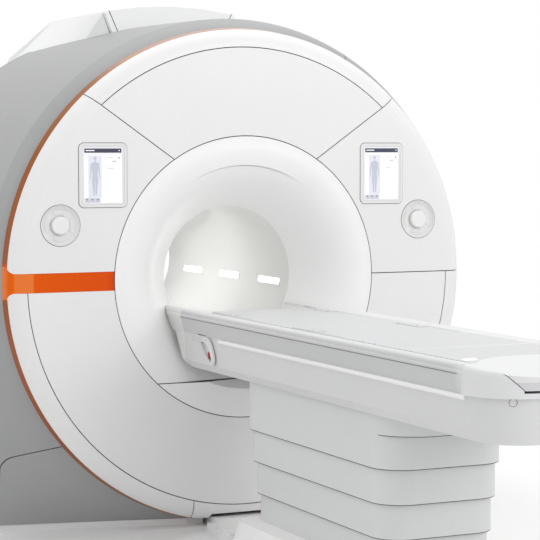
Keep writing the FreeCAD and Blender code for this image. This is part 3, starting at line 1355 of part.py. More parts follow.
def lift_base():
    """Floor plate with the fixed outer column, and a steel T on to the two front magnet feet."""
    plate = upright(rounded(-LIFT_HEAD_HALF, LIFT_HEAD_HALF, LIFT_Y - 2 * LIFT_HEAD_HALF,
                            LIFT_Y + 2 * LIFT_HEAD_HALF, LIFT_PLATE_CORNER), FLOOR_Z, FLOOR_Z + LIFT_BASE_TALL)
    rail_top = FLOOR_Z + LIFT_BASE_TALL
    pad_x = FOOT_X - FOOT_PAD / 2
    cross = VESSEL_START + FOOT_Y
    plate = plate.fuse(block((-RAIL_HALF, LIFT_Y, FLOOR_Z), (RAIL_HALF, cross, rail_top)))
    plate = plate.fuse(block((-pad_x, cross - RAIL_HALF, FLOOR_Z), (pad_x, cross + RAIL_HALF, rail_top)))
    return one(plate.fuse(column(LIFT_HALF, LIFT_WALL, rail_top, LIFT_OUTER_TOP)))


def lift_middle_column():
    return column(LIFT_HALF - LIFT_WALL - RUN, LIFT_WALL, LIFT_MIDDLE_BOTTOM, LIFT_MIDDLE_TOP)


def lift_inner_column():
    """Inner column with the head plate that carries the table's body."""
    half = LIFT_HALF - 2 * (LIFT_WALL + RUN)
    head_bottom = BODY_BOTTOM - LIFT_HEAD_TALL
    head = block((-LIFT_HEAD_HALF, LIFT_Y - 2 * LIFT_HEAD_HALF, head_bottom),
                 (LIFT_HEAD_HALF, LIFT_Y + 2 * LIFT_HEAD_HALF, BODY_BOTTOM))
    return one(column(half, LIFT_WALL, LIFT_INNER_BOTTOM, head_bottom).fuse(head))


def base_form(wall):
    """Solid of the table's floor base, moved in by a wall."""
    low = loop(rounded(-BASE_HALF + wall, BASE_HALF - wall, BASE_END + wall, BASE_HEAD - wall,
                       BASE_CORNER), lambda x, y: V(x, y, FLOOR_Z))
    top_z = BASE_TOP - wall
    lean = BASE_LEAN + wall
    high = loop(rounded(-BASE_HALF + lean, BASE_HALF - lean, BASE_END + lean,
                        BASE_HEAD - lean - BASE_HEAD_LEAN, BASE_CORNER), lambda x, y: V(x, y, top_z))
    return Part.makeLoft([low, high], True, True)


def duct_form(wall):
    """Solid of the floor duct that joins the base to the gantry."""
    half = DUCT_HALF - wall
    end = DUCT_END - wall
    top = DUCT_TOP - wall
    return along_x([
        (DUCT_HIGH_Y - DUCT_LAP, FLOOR_Z), (end, FLOOR_Z), (end, top), (DUCT_LOW_Y, top),
        (DUCT_HIGH_Y, BASE_TOP - wall), (DUCT_HIGH_Y - DUCT_LAP, BASE_TOP - wall),
    ], -half, half)


def table_base_cover():
    """Cover over the lift's foot, with the duct and its side tabs."""
    base = base_form(0).fuse(duct_form(0)).cut(base_form(BASE_WALL).fuse(duct_form(BASE_WALL)))
    well = cover_outline(COVER_COUNT - 1, COVER_WALL + COVER_WELL)
    base = base.cut(upright(well, BASE_TOP - 2 * BASE_WALL, BASE_TOP + 1))
    rail_half = RAIL_HALF + RAIL_DOOR
    base = base.cut(block((-rail_half, DUCT_END - 2 * BASE_WALL, FLOOR_Z - 1),
                          (rail_half, DUCT_END + 1, FLOOR_Z + LIFT_BASE_TALL + RAIL_DOOR)))
    for start, end in TABS:
        for side in (-1, 1):
            tab = block((DUCT_HALF - 1, end, FLOOR_Z), (DUCT_HALF + TAB_PROUD, start, FLOOR_Z + TAB_TALL))
            base = base.fuse(tab if side > 0 else mirrored(tab))
    return one(base)


# ---- All nodes

def build():
    shell = housing_shell()
    roof = turret()
    nodes = {
        "upper_front_panel": upper_front_panel(), "top_border_cover": top_border_cover(),
        "left_front_panel": left_front_panel(), "right_front_panel": right_front_panel(),
        "lower_front_panel": lower_front_panel(), "lower_left_border": lower_left_border(),
        "bottom_border": bottom_border(), "lower_right_border": lower_right_border(),
        "accent_band": accent_band(), "rim_trim": rim_trim(), "front_cover_frame": front_cover_frame(),
        "funnel_upper": funnel_upper(), "funnel_lower": funnel_lower(), "bore_liner": bore_liner(),
        "bore_lights": bore_lights(), "bore_bridge": bore_bridge(), "bridge_nose": bridge_nose(),
        "left_side_cover": left_side_cover(shell), "right_side_cover": right_side_cover(shell),
        "left_lower_cover": left_lower_cover(shell), "right_lower_cover": mirrored(left_lower_cover(shell)),
        "rear_cover": rear_cover(shell), "plinth": plinth(),
        "turret_front": turret_front(roof), "turret_rear": turret_rear(roof),
        "magnet_vessel": magnet_vessel(), "magnet_cold_mass": magnet_cold_mass(),
        "gradient_coil": gradient_coil(),
        "magnet_feet": magnet_feet(), "cold_head": cold_head(),
        "table_tray": table_tray(), "table_body": table_body(), "tabletop": tabletop(),
        "foot_panel": foot_panel(), "release_lever": release_lever(),
        "slide_drive": slide_drive(), "lift_base": lift_base(),
        "lift_middle_column": lift_middle_column(), "lift_inner_column": lift_inner_column(),
        "table_base_cover": table_base_cover(),
    }
    for number in range(COVER_COUNT):
        nodes[f"lift_cover_{number + 1}"] = lift_cover(number)
    for side, hand in ((-1, "left"), (1, "right")):
        nodes[f"{hand}_display_bezel"] = display_bezel(side)
        nodes[f"{hand}_display_screen"] = display_screen(side)
        nodes[f"{hand}_control_dish"] = control_dish(side)
        nodes[f"{hand}_knob"] = knob(side)
        for quarter, name in enumerate(("right", "up", "left", "down")):
            nodes[f"{hand}_button_{name}"] = arc_button(side, quarter)
    return nodes


os.makedirs("parts", exist_ok=True)
for node, shape in build().items():
    shape.translate(V(0, -MIDDLE_Y, ISO_HEIGHT))
    shape.exportStep(f"parts/{node}.step")
    box = shape.BoundBox
    print(f"{node:22s} solids {len(shape.Solids)} valid {shape.isValid()} volume {shape.Volume / 1e6:9.3f} l")
    print(f"    x {box.XMin:7.1f} {box.XMax:7.1f}  y {box.YMin:8.1f} {box.YMax:8.1f}"
          f"  z {box.ZMin:7.1f} {box.ZMax:7.1f}")
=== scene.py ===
# %% [markdown]
# # A whole-body scanner and its patient table
#
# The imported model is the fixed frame: it holds every cover, column and knob at its real size, in metres,
# with the floor at z = 0. This notebook gives those pieces their finishes, stands softer shapes in for the
# funnel's upper half and the turret, adds the small things that are too thin for the construction model, and
# sets the light and the camera.

# %% Load the frame
import json
import math
import bmesh
import bpy
from mathutils import Matrix, Vector


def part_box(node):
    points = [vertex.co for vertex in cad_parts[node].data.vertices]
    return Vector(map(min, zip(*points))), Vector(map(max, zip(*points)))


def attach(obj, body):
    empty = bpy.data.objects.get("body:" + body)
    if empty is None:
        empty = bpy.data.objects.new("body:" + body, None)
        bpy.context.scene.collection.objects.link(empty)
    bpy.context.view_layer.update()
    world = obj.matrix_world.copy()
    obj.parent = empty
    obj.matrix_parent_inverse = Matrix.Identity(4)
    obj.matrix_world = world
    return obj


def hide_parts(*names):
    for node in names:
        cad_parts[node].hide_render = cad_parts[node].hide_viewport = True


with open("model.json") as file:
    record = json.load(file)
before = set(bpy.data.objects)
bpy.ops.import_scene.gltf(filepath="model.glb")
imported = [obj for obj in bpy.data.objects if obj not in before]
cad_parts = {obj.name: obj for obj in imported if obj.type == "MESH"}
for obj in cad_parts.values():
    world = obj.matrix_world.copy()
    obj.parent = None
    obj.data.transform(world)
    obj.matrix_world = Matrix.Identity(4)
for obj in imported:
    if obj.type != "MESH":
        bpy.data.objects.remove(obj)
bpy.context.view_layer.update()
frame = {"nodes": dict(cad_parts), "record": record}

nodes = frame["nodes"]
record = frame["record"]

# %% [markdown]
# ## Where things are
#
# The construction is centred on the scan axis, which runs along Y, and on the disc's rim, which lies a little
# behind the flat face. The axis, the face and the disc's radius are read from the frame's own pieces, and
# most places below are given from there.

# %% Reference places
RIM_BEHIND_FACE = 0.035
liner_low, liner_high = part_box("bore_liner")
disc_low, disc_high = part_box("rim_trim")
AXIS_Z = (liner_low.z + liner_high.z) / 2
FACE_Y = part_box("lower_front_panel")[0].y
DISC_R = (disc_high.x - disc_low.x) / 2
RIM_Y = FACE_Y + RIM_BEHIND_FACE
BORE_R = 0.300
print("scan axis at", round(AXIS_Z, 4), "face at", round(FACE_Y, 4), "disc radius", round(DISC_R, 4))


def place(x, y, z):
    """A point given from the centre of the disc, in the frame's own place."""
    return Vector((x, RIM_Y + y, AXIS_Z + z))


# %% [markdown]
# ## Camera
#
# The camera stands about five metres past the table's end, on its left and at eye height, and looks into the
# bore through a long lens. Its place was solved from the circles of the disc and the bore.

# %% Camera
CAMERA_PLACE = place(-3.350, -7.456, 0.538)
CAMERA_YAW = 24.987
CAMERA_PITCH = 3.572
CAMERA_ROLL = -0.078
CAMERA_LENS = 126.83
CAMERA_SENSOR = 36.0
CAMERA_REACH = 60.0


def turned(degrees, axis):
    """A turn about one axis, as a matrix."""
    return Matrix.Rotation(math.radians(degrees), 4, axis)


camera_data = bpy.data.cameras.new("camera")
camera_data.lens = CAMERA_LENS
camera_data.sensor_width = CAMERA_SENSOR
camera_data.clip_end = CAMERA_REACH
camera = bpy.data.objects.new("camera", camera_data)
bpy.context.scene.collection.objects.link(camera)
camera_turn = turned(-CAMERA_YAW, "Z") @ turned(90 - CAMERA_PITCH, "X")
camera.matrix_world = Matrix.Translation(CAMERA_PLACE) @ camera_turn @ turned(CAMERA_ROLL, "Z")
bpy.context.scene.camera = camera
print("camera at", [round(value, 3) for value in CAMERA_PLACE])

# %% [markdown]
# ## Finishes
#
# Nearly everything on the machine is gel-coated or painted plastic. A real gel coat is never one flat
# colour: it has a faint mottling, a slow waviness that breaks up reflections and a roughness that changes
# over a hand's breadth. One helper builds such a finish from noise in object space, in metres, so its grain
# keeps its real size on every piece.

# %% Helper for moulded finishes
# noise cells per metre
MOTTLE_CELLS = 3.5
ROUGH_CELLS = 14.0
GRAIN_CELLS = 900.0
WAVE_CELLS = 2.2
# how far the roughness strays, and how strongly grain and waves tilt the surface
ROUGH_SPREAD = 0.05
GRAIN_STRENGTH = 0.12
WAVE_STRENGTH = 0.5
COAT_ROUGH = 0.12


def shade(colour, factor=1.0):
    """A colour made lighter or darker, with its alpha."""
    return tuple(min(1.0, value * factor) for value in colour) + (1.0,)


def noise(tree, vector, scale, detail):
    """Noise in object space at a scale given as cells per metre."""
    node = tree.nodes.new("ShaderNodeTexNoise")
    node.inputs["Scale"].default_value = scale
    node.inputs["Detail"].default_value = detail
    tree.links.new(vector, node.inputs["Vector"])
    return node.outputs["Fac"]


def relief(tree, height, distance, strength, below=None):
    """Bump from a height, on top of another bump."""
    bump = tree.nodes.new("ShaderNodeBump")
    bump.inputs["Strength"].default_value = strength
    bump.inputs["Distance"].default_value = distance
    tree.links.new(height, bump.inputs["Height"])
    if below:
        tree.links.new(below, bump.inputs["Normal"])
    return bump.outputs["Normal"]


def finish(name, colour, rough, mottle=0.02, grain=0.0004, wave=0.0, coat=0.0, metal=0.0, mirror=0.5):
    """A moulded or painted surface: mottled colour, uneven roughness, fine grain and slow waviness."""
    material = bpy.data.materials.new(name)
    material.use_nodes = True
    tree = material.node_tree
    shader = tree.nodes["Principled BSDF"]
    shader.inputs["Metallic"].default_value = metal
    shader.inputs["Specular IOR Level"].default_value = mirror
    shader.inputs["Coat Weight"].default_value = coat
    shader.inputs["Coat Roughness"].default_value = COAT_ROUGH
    spot = tree.nodes.new("ShaderNodeTexCoord").outputs["Object"]

    tint = tree.nodes.new("ShaderNodeMix")
    tint.name = "tint"
    tint.data_type = "RGBA"
    tint.inputs["A"].default_value = shade(colour, 1 - mottle)
    tint.inputs["B"].default_value = shade(colour, 1 + mottle)
    tree.links.new(noise(tree, spot, MOTTLE_CELLS, detail=4.0), tint.inputs["Factor"])
    tree.links.new(tint.outputs["Result"], shader.inputs["Base Color"])

    spread = tree.nodes.new("ShaderNodeMapRange")
    spread.inputs["To Min"].default_value = rough - ROUGH_SPREAD
    spread.inputs["To Max"].default_value = rough + ROUGH_SPREAD
    tree.links.new(noise(tree, spot, ROUGH_CELLS, detail=3.0), spread.inputs["Value"])
    tree.links.new(spread.outputs["Result"], shader.inputs["Roughness"])

    normal = relief(tree, noise(tree, spot, GRAIN_CELLS, detail=2.0), grain, GRAIN_STRENGTH)
    if wave:
        normal = relief(tree, noise(tree, spot, WAVE_CELLS, detail=2.0), wave, WAVE_STRENGTH, normal)
    tree.links.new(normal, shader.inputs["Normal"])
    return material


def lit(name, colour, strength):
    """A surface that also gives light of its own, such as a lens or a display."""
    material = finish(name, colour, rough=0.4, mottle=0.01)
    shader = material.node_tree.nodes["Principled BSDF"]
    shader.inputs["Emission Color"].default_value = shade(colour)
    shader.inputs["Emission Strength"].default_value = strength
    return material


# %% [markdown]
# ## Colours of the machine
#
# The front is a neutral white, the side housing a mid grey, set darker than its paint as painted shade of its
# side away from the light, and the table's moving parts slightly cooler greys. The funnel and the base cover
# are lighter whites than the front, as painted light. The accent on the left is a strong orange. The colours
# that show most are plain constants, so a shade can be tuned without touching a material.

# %% Finishes by slot
FRONT_WHITE = (0.83, 0.83, 0.828)
# the housing's grey is darker than its paint, as painted shade of its side away from the light
HOUSING_GREY_AND_SHADE = (0.355, 0.358, 0.362)
# the funnel's white is the front's gel coat made lighter, as painted light for the light the bore spills onto
# it
FUNNEL_LIT_WHITE = (0.91, 0.91, 0.907)
# the base cover's white is made lighter, as painted light that makes up for the little light it gets
BASE_LIT_WHITE = (0.90, 0.90, 0.895)
BORE_WHITE = (0.79, 0.79, 0.777)
ORANGE = (0.80, 0.10, 0.004)
TABLE_WHITE = (0.76, 0.765, 0.77)
# the tray's side grey is painted shade
SIDE_GREY_AND_SHADE = (0.60, 0.607, 0.61)
TURRET_WHITE = (0.88, 0.885, 0.885)
BODY_GREY = (0.695, 0.70, 0.70)
BOARD_GREY = (0.635, 0.64, 0.645)
LIFT_GREY = (0.70, 0.71, 0.71)

finishes = {
    "cover_white": finish("front_gel_coat", FRONT_WHITE, 0.36, wave=0.0006, coat=0.15),
    "accent_orange": finish("orange_lacquer", ORANGE, 0.5, mottle=0.03, mirror=0.06),
    "carrier_grey": finish("carrier_paint", (0.045, 0.045, 0.048), 0.7, mottle=0.1),
    "bore_white": finish("bore_gel_coat", BORE_WHITE, 0.38, wave=0.0005),
    "light_lens": lit("bore_light_lens", (0.98, 0.98, 0.97), 3.0),
    "housing_grey": finish("housing_paint_and_shade", HOUSING_GREY_AND_SHADE, 0.42, wave=0.0012, mottle=0.03),
    "plinth_white": finish("plinth_paint", (0.80, 0.80, 0.80), 0.45),
    "bezel_grey": finish("bezel_plastic", (0.80, 0.80, 0.795), 0.42, grain=0.0006),
    "screen_glass": finish("screen_front", (0.80, 0.80, 0.83), 0.18, coat=0.6, grain=0.0001),
    "knob_white": finish("knob_plastic", (0.86, 0.86, 0.855), 0.34, coat=0.2),
    "button_grey": finish("button_plastic", (0.80, 0.80, 0.795), 0.45, grain=0.0006),
    "vessel_steel": finish("vessel_paint", (0.62, 0.63, 0.64), 0.45, mottle=0.04),
    "coil_metal": finish("cold_mass_metal", (0.60, 0.61, 0.63), 0.35, metal=1.0),
    "coil_resin": finish("coil_resin_cast", (0.45, 0.33, 0.20), 0.5, mottle=0.12, grain=0.001),
    "foot_steel": finish("foot_paint", (0.16, 0.165, 0.17), 0.5, mottle=0.08),
    "cold_head_metal": finish("cold_head_alloy", (0.66, 0.67, 0.69), 0.3, metal=1.0, mottle=0.05),
    "column_steel": finish("column_ground_steel", (0.55, 0.56, 0.58), 0.28, metal=1.0, mottle=0.05),
    "table_white": finish("table_gel_coat", TABLE_WHITE, 0.36, wave=0.0004, coat=0.1),
    "body_grey": finish("table_body_gel_coat", BODY_GREY, 0.4, wave=0.0006),
    "board_grey": finish("board_laminate", BOARD_GREY, 0.42, grain=0.0006),
    "lift_cover_grey": finish("lift_cover_paint", LIFT_GREY, 0.42, wave=0.0006),
}
slot_of = {part["node"]: part["material_slot"] for part in record["subparts"]}
for name, thing in nodes.items():
    thing.data.materials.clear()
    thing.data.materials.append(finishes[slot_of[name]])
turret_finish = finish("turret_gel_coat", TURRET_WHITE, 0.36, wave=0.0006, coat=0.1)
for name in ("turret_front", "turret_rear"):
    nodes[name].data.materials[0] = turret_finish
# the funnel gets a lighter copy of the white gel coat, as painted light
funnel_lit_finish = finish("funnel_gel_coat_painted_light", FUNNEL_LIT_WHITE, 0.36, wave=0.0006, coat=0.15)
nodes["funnel_lower"].data.materials[0] = funnel_lit_finish
# the base cover gets a lighter white, as painted light
nodes["table_base_cover"].data.materials[0] = finish("base_gel_coat_painted_light", BASE_LIT_WHITE, 0.4, wave=0.0004)
print("finishes set on", len(nodes), "nodes")

# %% [markdown]
# ## Tones and painted sheen of the orange band
#
# On the real machine the band is one lacquered strip. A colour ramp along the band, read from the surface's
# own place, paints a highlight on its outer edge and a reflection where it rolls over the border, both as
# lighter orange, and makes it redder towards the middle of the disc. The ramp is a helper, since the rim strip
# has one too.

# %% Helpers for tones along a surface


def surface_place(tree):
    """The surface's own place in metres, parted into X, Y and Z."""
    parted = tree.nodes.new("ShaderNodeSeparateXYZ")
    tree.links.new(tree.nodes.new("ShaderNodeTexCoord").outputs["Object"], parted.inputs[0])
    return parted.outputs


def share_between(tree, value, low, high):
    """Node whose result goes from 0 to 1 while a value goes from low to high."""
    share = tree.nodes.new("ShaderNodeMapRange")
    share.inputs["From Min"].default_value = low
    share.inputs["From Max"].default_value = high
    tree.links.new(value, share.inputs["Value"])
    return share


def combined(tree, operation, first, second):
    """Two values joined by one operation."""
    node = tree.nodes.new("ShaderNodeMath")
    node.operation = operation
    tree.links.new(first, node.inputs[0])
    tree.links.new(second, node.inputs[1])
    return node.outputs[0]


def tone_ramp(tree, value, tones, unit=1.0):
    """Colour read from stops of place and colour, where the unit turns a stop's place into the value's."""
    first, last = tones[0][0], tones[-1][0]
    along = share_between(tree, value, first * unit, last * unit)
    ramp = tree.nodes.new("ShaderNodeValToRGB")
    while len(ramp.color_ramp.elements) < len(tones):
        ramp.color_ramp.elements.new(0.5)
    for stop, (at, colour) in zip(ramp.color_ramp.elements, tones):
        stop.position = (at - first) / (last - first)
        stop.color = shade(colour)
    tree.links.new(along.outputs["Result"], ramp.inputs["Fac"])
    return ramp.outputs["Color"]


# %% Tones along the band, with painted highlight and painted reflection
SPECKLE = 0.12
# each stop: place along X, colour
# the lighter stops, at the outer edge and over the border, are painted highlight and painted reflection
BAND_TONES_WITH_SHEEN = (
    (-1.066, (0.86, 0.26, 0.09)),
    (-1.052, (0.80, 0.135, 0.004)),
    (-1.036, (0.80, 0.135, 0.004)),
    (-1.030, (0.86, 0.215, 0.045)),
    (-0.958, (0.86, 0.215, 0.045)),
    (-0.952, (0.79, 0.105, 0.005)),
    (-0.640, (0.74, 0.085, 0.006)),
    (-0.600, (0.66, 0.055, 0.008)),
)


def band_tones_with_sheen(material):
    """Colour along X, with painted highlight and painted reflection as lighter orange, and a little of the
    lacquer's mottling mixed in.
    """
    tree = material.node_tree
    speckle = tree.nodes.new("ShaderNodeMix")
    speckle.data_type = "RGBA"
    speckle.inputs["Factor"].default_value = SPECKLE
    tree.links.new(tone_ramp(tree, surface_place(tree)["X"], BAND_TONES_WITH_SHEEN), speckle.inputs["A"])
    tree.links.new(tree.nodes["tint"].outputs["Result"], speckle.inputs["B"])
    tree.links.new(speckle.outputs["Result"], tree.nodes["Principled BSDF"].inputs["Base Color"])
    return material


band_lacquer_painted_sheen = finish("band_lacquer_painted_sheen", ORANGE, 0.5, mottle=0.03, mirror=0.06)
nodes["accent_band"].data.materials[0] = band_tones_with_sheen(band_lacquer_painted_sheen)
print("band tones:", len(BAND_TONES_WITH_SHEEN))

# %% [markdown]
# ## Painted shade on the rim strip
#
# The strip round the disc's edge turns away from the light, and that shade is painted into its colour: a deep
# brown-orange down the left, paling over the top and running out into white on the right, where the strip
# isn't coloured. The table hides its lower right, which is taken to be white too. Only beside the band is it
# the band's own orange, with no painted shade. The tone therefore follows the angle round the disc, counted
# upwards from the left.

# %% Painted shade round the rim
band_low, band_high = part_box("accent_band")
BAND_EDGE = 0.15
band_from, band_to = (math.degrees(math.asin((z - AXIS_Z) / DISC_R)) for z in (band_low.z, band_high.z))
BESIDE_BAND = (0.80, 0.105, 0.004)
# each stop: angle in degrees, colour
# the browns and paler tones are painted shade, lightest over the top
RIM_SHADE_TONES = (
    (-108.0, FRONT_WHITE), (-96.0, (0.64, 0.500, 0.440)), (-78.0, (0.42, 0.25, 0.16)),
    (-60.0, (0.39, 0.20, 0.12)), (-40.0, (0.34, 0.115, 0.060)),
    (-20.0, (0.38, 0.125, 0.065)), (band_from - BAND_EDGE, (0.34, 0.110, 0.050)),
    (band_from, BESIDE_BAND), (band_to, BESIDE_BAND),
    (band_to + BAND_EDGE, (0.34, 0.115, 0.050)), (30.0, (0.34, 0.111, 0.033)),
    (50.0, (0.38, 0.170, 0.085)), (60.0, (0.55, 0.350, 0.270)), (80.0, (0.58, 0.410, 0.355)),
    (92.0, (0.64, 0.500, 0.455)), (102.0, (0.82, 0.740, 0.700)), (112.0, FRONT_WHITE),
)


def rim_tones_with_shade(material):
    """Colour by the angle round the scan axis, from the left of the disc, with painted shade in it."""
    tree = material.node_tree
    spot = surface_place(tree)
    values = []
    for axis, factor, offset in (("Z", 1.0, -AXIS_Z), ("X", -1.0, 0.0)):
        shifted = tree.nodes.new("ShaderNodeMath")
        shifted.operation = "MULTIPLY_ADD"
        tree.links.new(spot[axis], shifted.inputs[0])
        shifted.inputs[1].default_value = factor
        shifted.inputs[2].default_value = offset
        values.append(shifted.outputs[0])
    tones = tone_ramp(tree, combined(tree, "ARCTAN2", *values), RIM_SHADE_TONES, math.radians(1))
    tree.links.new(tones, tree.nodes["Principled BSDF"].inputs["Base Color"])
    return material


nodes["rim_trim"].data.materials[0] = rim_tones_with_shade(finish("rim_lacquer_painted_shade", ORANGE, 0.5, mirror=0.06))
print("rim tones:", len(RIM_SHADE_TONES), "band from", round(band_from, 2), "to", round(band_to, 2))

# %% [markdown]
# ## Thin plates and rings
#
# Labels, dark strips of painted shade, caps and the picture on a display are all thin plates on a surface.
# Each is built from an outline in two numbers, which one small function lays onto the surface, flat or curved.
# Building them as closed plates a few tenths of a millimetre thick, and not as single faces, keeps the meshes
# solid.

# %% Helpers for thin plates


def soft_rectangle(left, low, right, high, corner, steps=5):
    """Outline of a rectangle with round corners."""
    points = []
    corners = ((right - corner, high - corner, 0), (left + corner, high - corner, 90),
               (left + corner, low + corner, 180), (right - corner, low + corner, 270))
    for centre_u, centre_v, first in corners:
        for step in range(steps + 1):
            angle = math.radians(first + 90 * step / steps)
            points.append((centre_u + corner * math.cos(angle), centre_v + corner * math.sin(angle)))
    return points


def ellipse(centre_u, centre_v, wide, tall, steps=28):
    """Outline of an ellipse."""
    return [(centre_u + wide / 2 * math.cos(2 * math.pi * step / steps),
             centre_v + tall / 2 * math.sin(2 * math.pi * step / steps)) for step in range(steps)]


def add_plate(mesh, outline, lay, low, high, number=0):
    """A closed plate with one outline, between two heights over the surface."""
    floor_ring = [mesh.verts.new(lay(u, v, low)) for u, v in outline]
    top_ring = [mesh.verts.new(lay(u, v, high)) for u, v in outline]
    faces = [mesh.faces.new(top_ring), mesh.faces.new(floor_ring[::-1])]
    for index, corner in enumerate(floor_ring):
        after = (index + 1) % len(outline)
        faces.append(mesh.faces.new((corner, floor_ring[after], top_ring[after], top_ring[index])))
    for face in faces:
        face.material_index = number


def add_ring(mesh, outer, inner, lay, low, high):
    """A closed ring between two outlines with as many points."""
    rings = [[mesh.verts.new(lay(u, v, height)) for u, v in outline]
             for outline, height in ((outer, low), (outer, high), (inner, high), (inner, low))]
    for index in range(len(outer)):
        after = (index + 1) % len(outer)
        for near, far in zip(rings, rings[1:] + rings[:1]):
            mesh.faces.new((near[index], near[after], far[after], far[index]))


def as_piece(name, mesh, materials, body):
    """Turn a finished mesh into a piece that rides on a body."""
    bmesh.ops.recalc_face_normals(mesh, faces=mesh.faces)
    data = bpy.data.meshes.new(name)
    mesh.to_mesh(data)
    mesh.free()
    for material in materials:
        data.materials.append(material)
    piece = bpy.data.objects.new(name, data)
    bpy.context.scene.collection.objects.link(piece)
    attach(piece, body)
    return piece


bodies = record["behaviour"]["bodies"]
body_of = {node: name for name, members in bodies.items() for node in members}
print("bodies:", len(bodies))

# %% [markdown]
# ## The funnel's soft roll
#
# The upper half of the funnel is one moulding. Its front ring rolls into the bore without an edge, apart
# from a short lip over the top that fades out at both sides. A turned solid has the same section all round,
# so the construction model keeps a plain crease there. Here the section is worked out anew at each angle and
# joined into a closed shell, which is then cut level with the joint of the lower half.

# %% Funnel section
CREASE_R = 0.480
RING_FLAT = 0.030
CREASE_PROUD = 0.009
CONE_FOOT = (0.390, 0.101)
MOUTH_DEEP = 0.211
FUNNEL_WALL = 0.006
LIP_STEP = 0.012
GROOVE_DEEP = 0.006
GROOVE_SHARE = 0.018
# the lip stands halfway along the roll, and fades out between two angles from the top
LIP_SHARE = 0.5
LIP_FULL, LIP_GONE = 12.0, 38.0
ROLL_STEPS = 16
BACK_STEPS = 8
funnel_low, funnel_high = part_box("funnel_upper")
RING_R = funnel_high.x


def roll(share):
    """Radius and depth along the roll, from the flat ring to the straight cone."""
    parts = ((1 - share) ** 2, 2 * share * (1 - share), share ** 2)
    knots = ((RING_R - RING_FLAT, 0.0), (CREASE_R, -CREASE_PROUD), CONE_FOOT)
    return [sum(part * knot[axis] for part, knot in zip(parts, knots)) for axis in (0, 1)]


def lip_left(angle):
    """How much of the lip is left at an angle from the top, from 1 down to 0."""
    share = min(max((LIP_GONE - abs(angle)) / (LIP_GONE - LIP_FULL), 0.0), 1.0)
    return share * share * (3 - 2 * share)


def funnel_section(angle):
    """Closed section of the funnel as radius and depth behind the face."""
    lip = lip_left(angle)
    half = round(ROLL_STEPS * LIP_SHARE)
    front = [(RING_R, 0.0)]
    for step in range(half + 1):
        radius, depth = roll(step / ROLL_STEPS)
        front.append((radius, depth - lip * LIP_STEP * (step / half) ** 2))
    groove = ((LIP_SHARE, lip), (LIP_SHARE + GROOVE_SHARE, lip), (LIP_SHARE + 1.5 * GROOVE_SHARE, 0))
    for share, sunk in groove:
        radius, depth = roll(share)
        front.append((radius, depth + sunk * GROOVE_DEEP))
    front += [tuple(roll(step / ROLL_STEPS)) for step in range(half + 1, ROLL_STEPS + 1)]
    front.append((BORE_R, MOUTH_DEEP))
    back = [(BORE_R + FUNNEL_WALL, MOUTH_DEEP)]
    back += [(radius + FUNNEL_WALL / 2, depth + FUNNEL_WALL + GROOVE_DEEP)
             for radius, depth in (roll(1 - step / BACK_STEPS) for step in range(BACK_STEPS + 1))]
    back.append((RING_R, FUNNEL_WALL))
    return front + back


# %% [markdown]
# ## Shells built from sections
#
# A moulding whose section changes along the way can't be turned or extruded. It is joined from copies of one
# outline with as many points each, which is called a loft. One helper makes the funnel, the turret and the
# long beads on the table that way. Another cuts such a shell with a plane and closes the cut, so it stays a
# solid.

# %% Helpers for shells built from sections


def add_loft(mesh, sections, closed=False):
    """Joins sections of as many points each into a skin, with its two ends closed unless it is a ring."""
    loops = [[mesh.verts.new(point) for point in section] for section in sections]
    count = len(loops[0])
    pairs = list(zip(loops, loops[1:])) + ([(loops[-1], loops[0])] if closed else [])
    for near, far in pairs:
        for index in range(count):
            after = (index + 1) % count
            mesh.faces.new((near[index], near[after], far[after], far[index]))
    if not closed:
        mesh.faces.new(loops[0][::-1])
        mesh.faces.new(loops[-1])


def cut_away(mesh, point, side):
    """Cuts a closed shell with a plane, drops what lies behind it and closes the cut."""
    geometry = mesh.verts[:] + mesh.edges[:] + mesh.faces[:]
    bmesh.ops.bisect_plane(mesh, geom=geometry, plane_co=point, plane_no=side, clear_inner=True)
    rim = [edge for edge in mesh.edges if edge.is_boundary]
    bmesh.ops.holes_fill(mesh, edges=rim, sides=0)


def smooth_shape(piece, sharpest=30.0):
    """Smooth shading, with an edge kept where the surface turns by more than an angle."""
    piece.data.polygons.foreach_set("use_smooth", [True] * len(piece.data.polygons))
    piece.data.set_sharp_from_angle(angle=math.radians(sharpest))


# %% Funnel piece
FUNNEL_STEPS = 180
WELD = 0.00002
funnel = bmesh.new()
rings = []
for step in range(FUNNEL_STEPS):
    angle = -180 + 360 * step / FUNNEL_STEPS
    across, up = math.sin(math.radians(angle)), math.cos(math.radians(angle))
    rings.append([Vector((radius * across, FACE_Y + depth, AXIS_Z + radius * up))
                  for radius, depth in funnel_section(angle)])
add_loft(funnel, rings, closed=True)
bmesh.ops.remove_doubles(funnel, verts=funnel.verts, dist=WELD)
cut_away(funnel, (0, 0, funnel_low.z), (0, 0, 1))
funnel_roll = as_piece("funnel_roll", funnel, [funnel_lit_finish], "gantry")
smooth_shape(funnel_roll)
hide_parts("funnel_upper")
print("funnel faces:", len(funnel_roll.data.polygons))

# %% [markdown]
# ## The turret's leaning sides
#
# The fairing on top of the machine isn't a plain box. Its sides are nearly upright at the front, and towards
# the rear their foot spreads over the housing's shoulder, so they lean. That is a twisted surface, which a
# loft through a few sections gives. The sections are set by depth, and each has its foot a little inside the
# housing, so no light shows under it.

# %% Turret
TURRET_SEAM = 0.004
ROOF_ROUND = 16.0
EDGE_ROUND = 0.012
FOOT_SUNK = 0.020
SEAL_SUNK = 0.0008
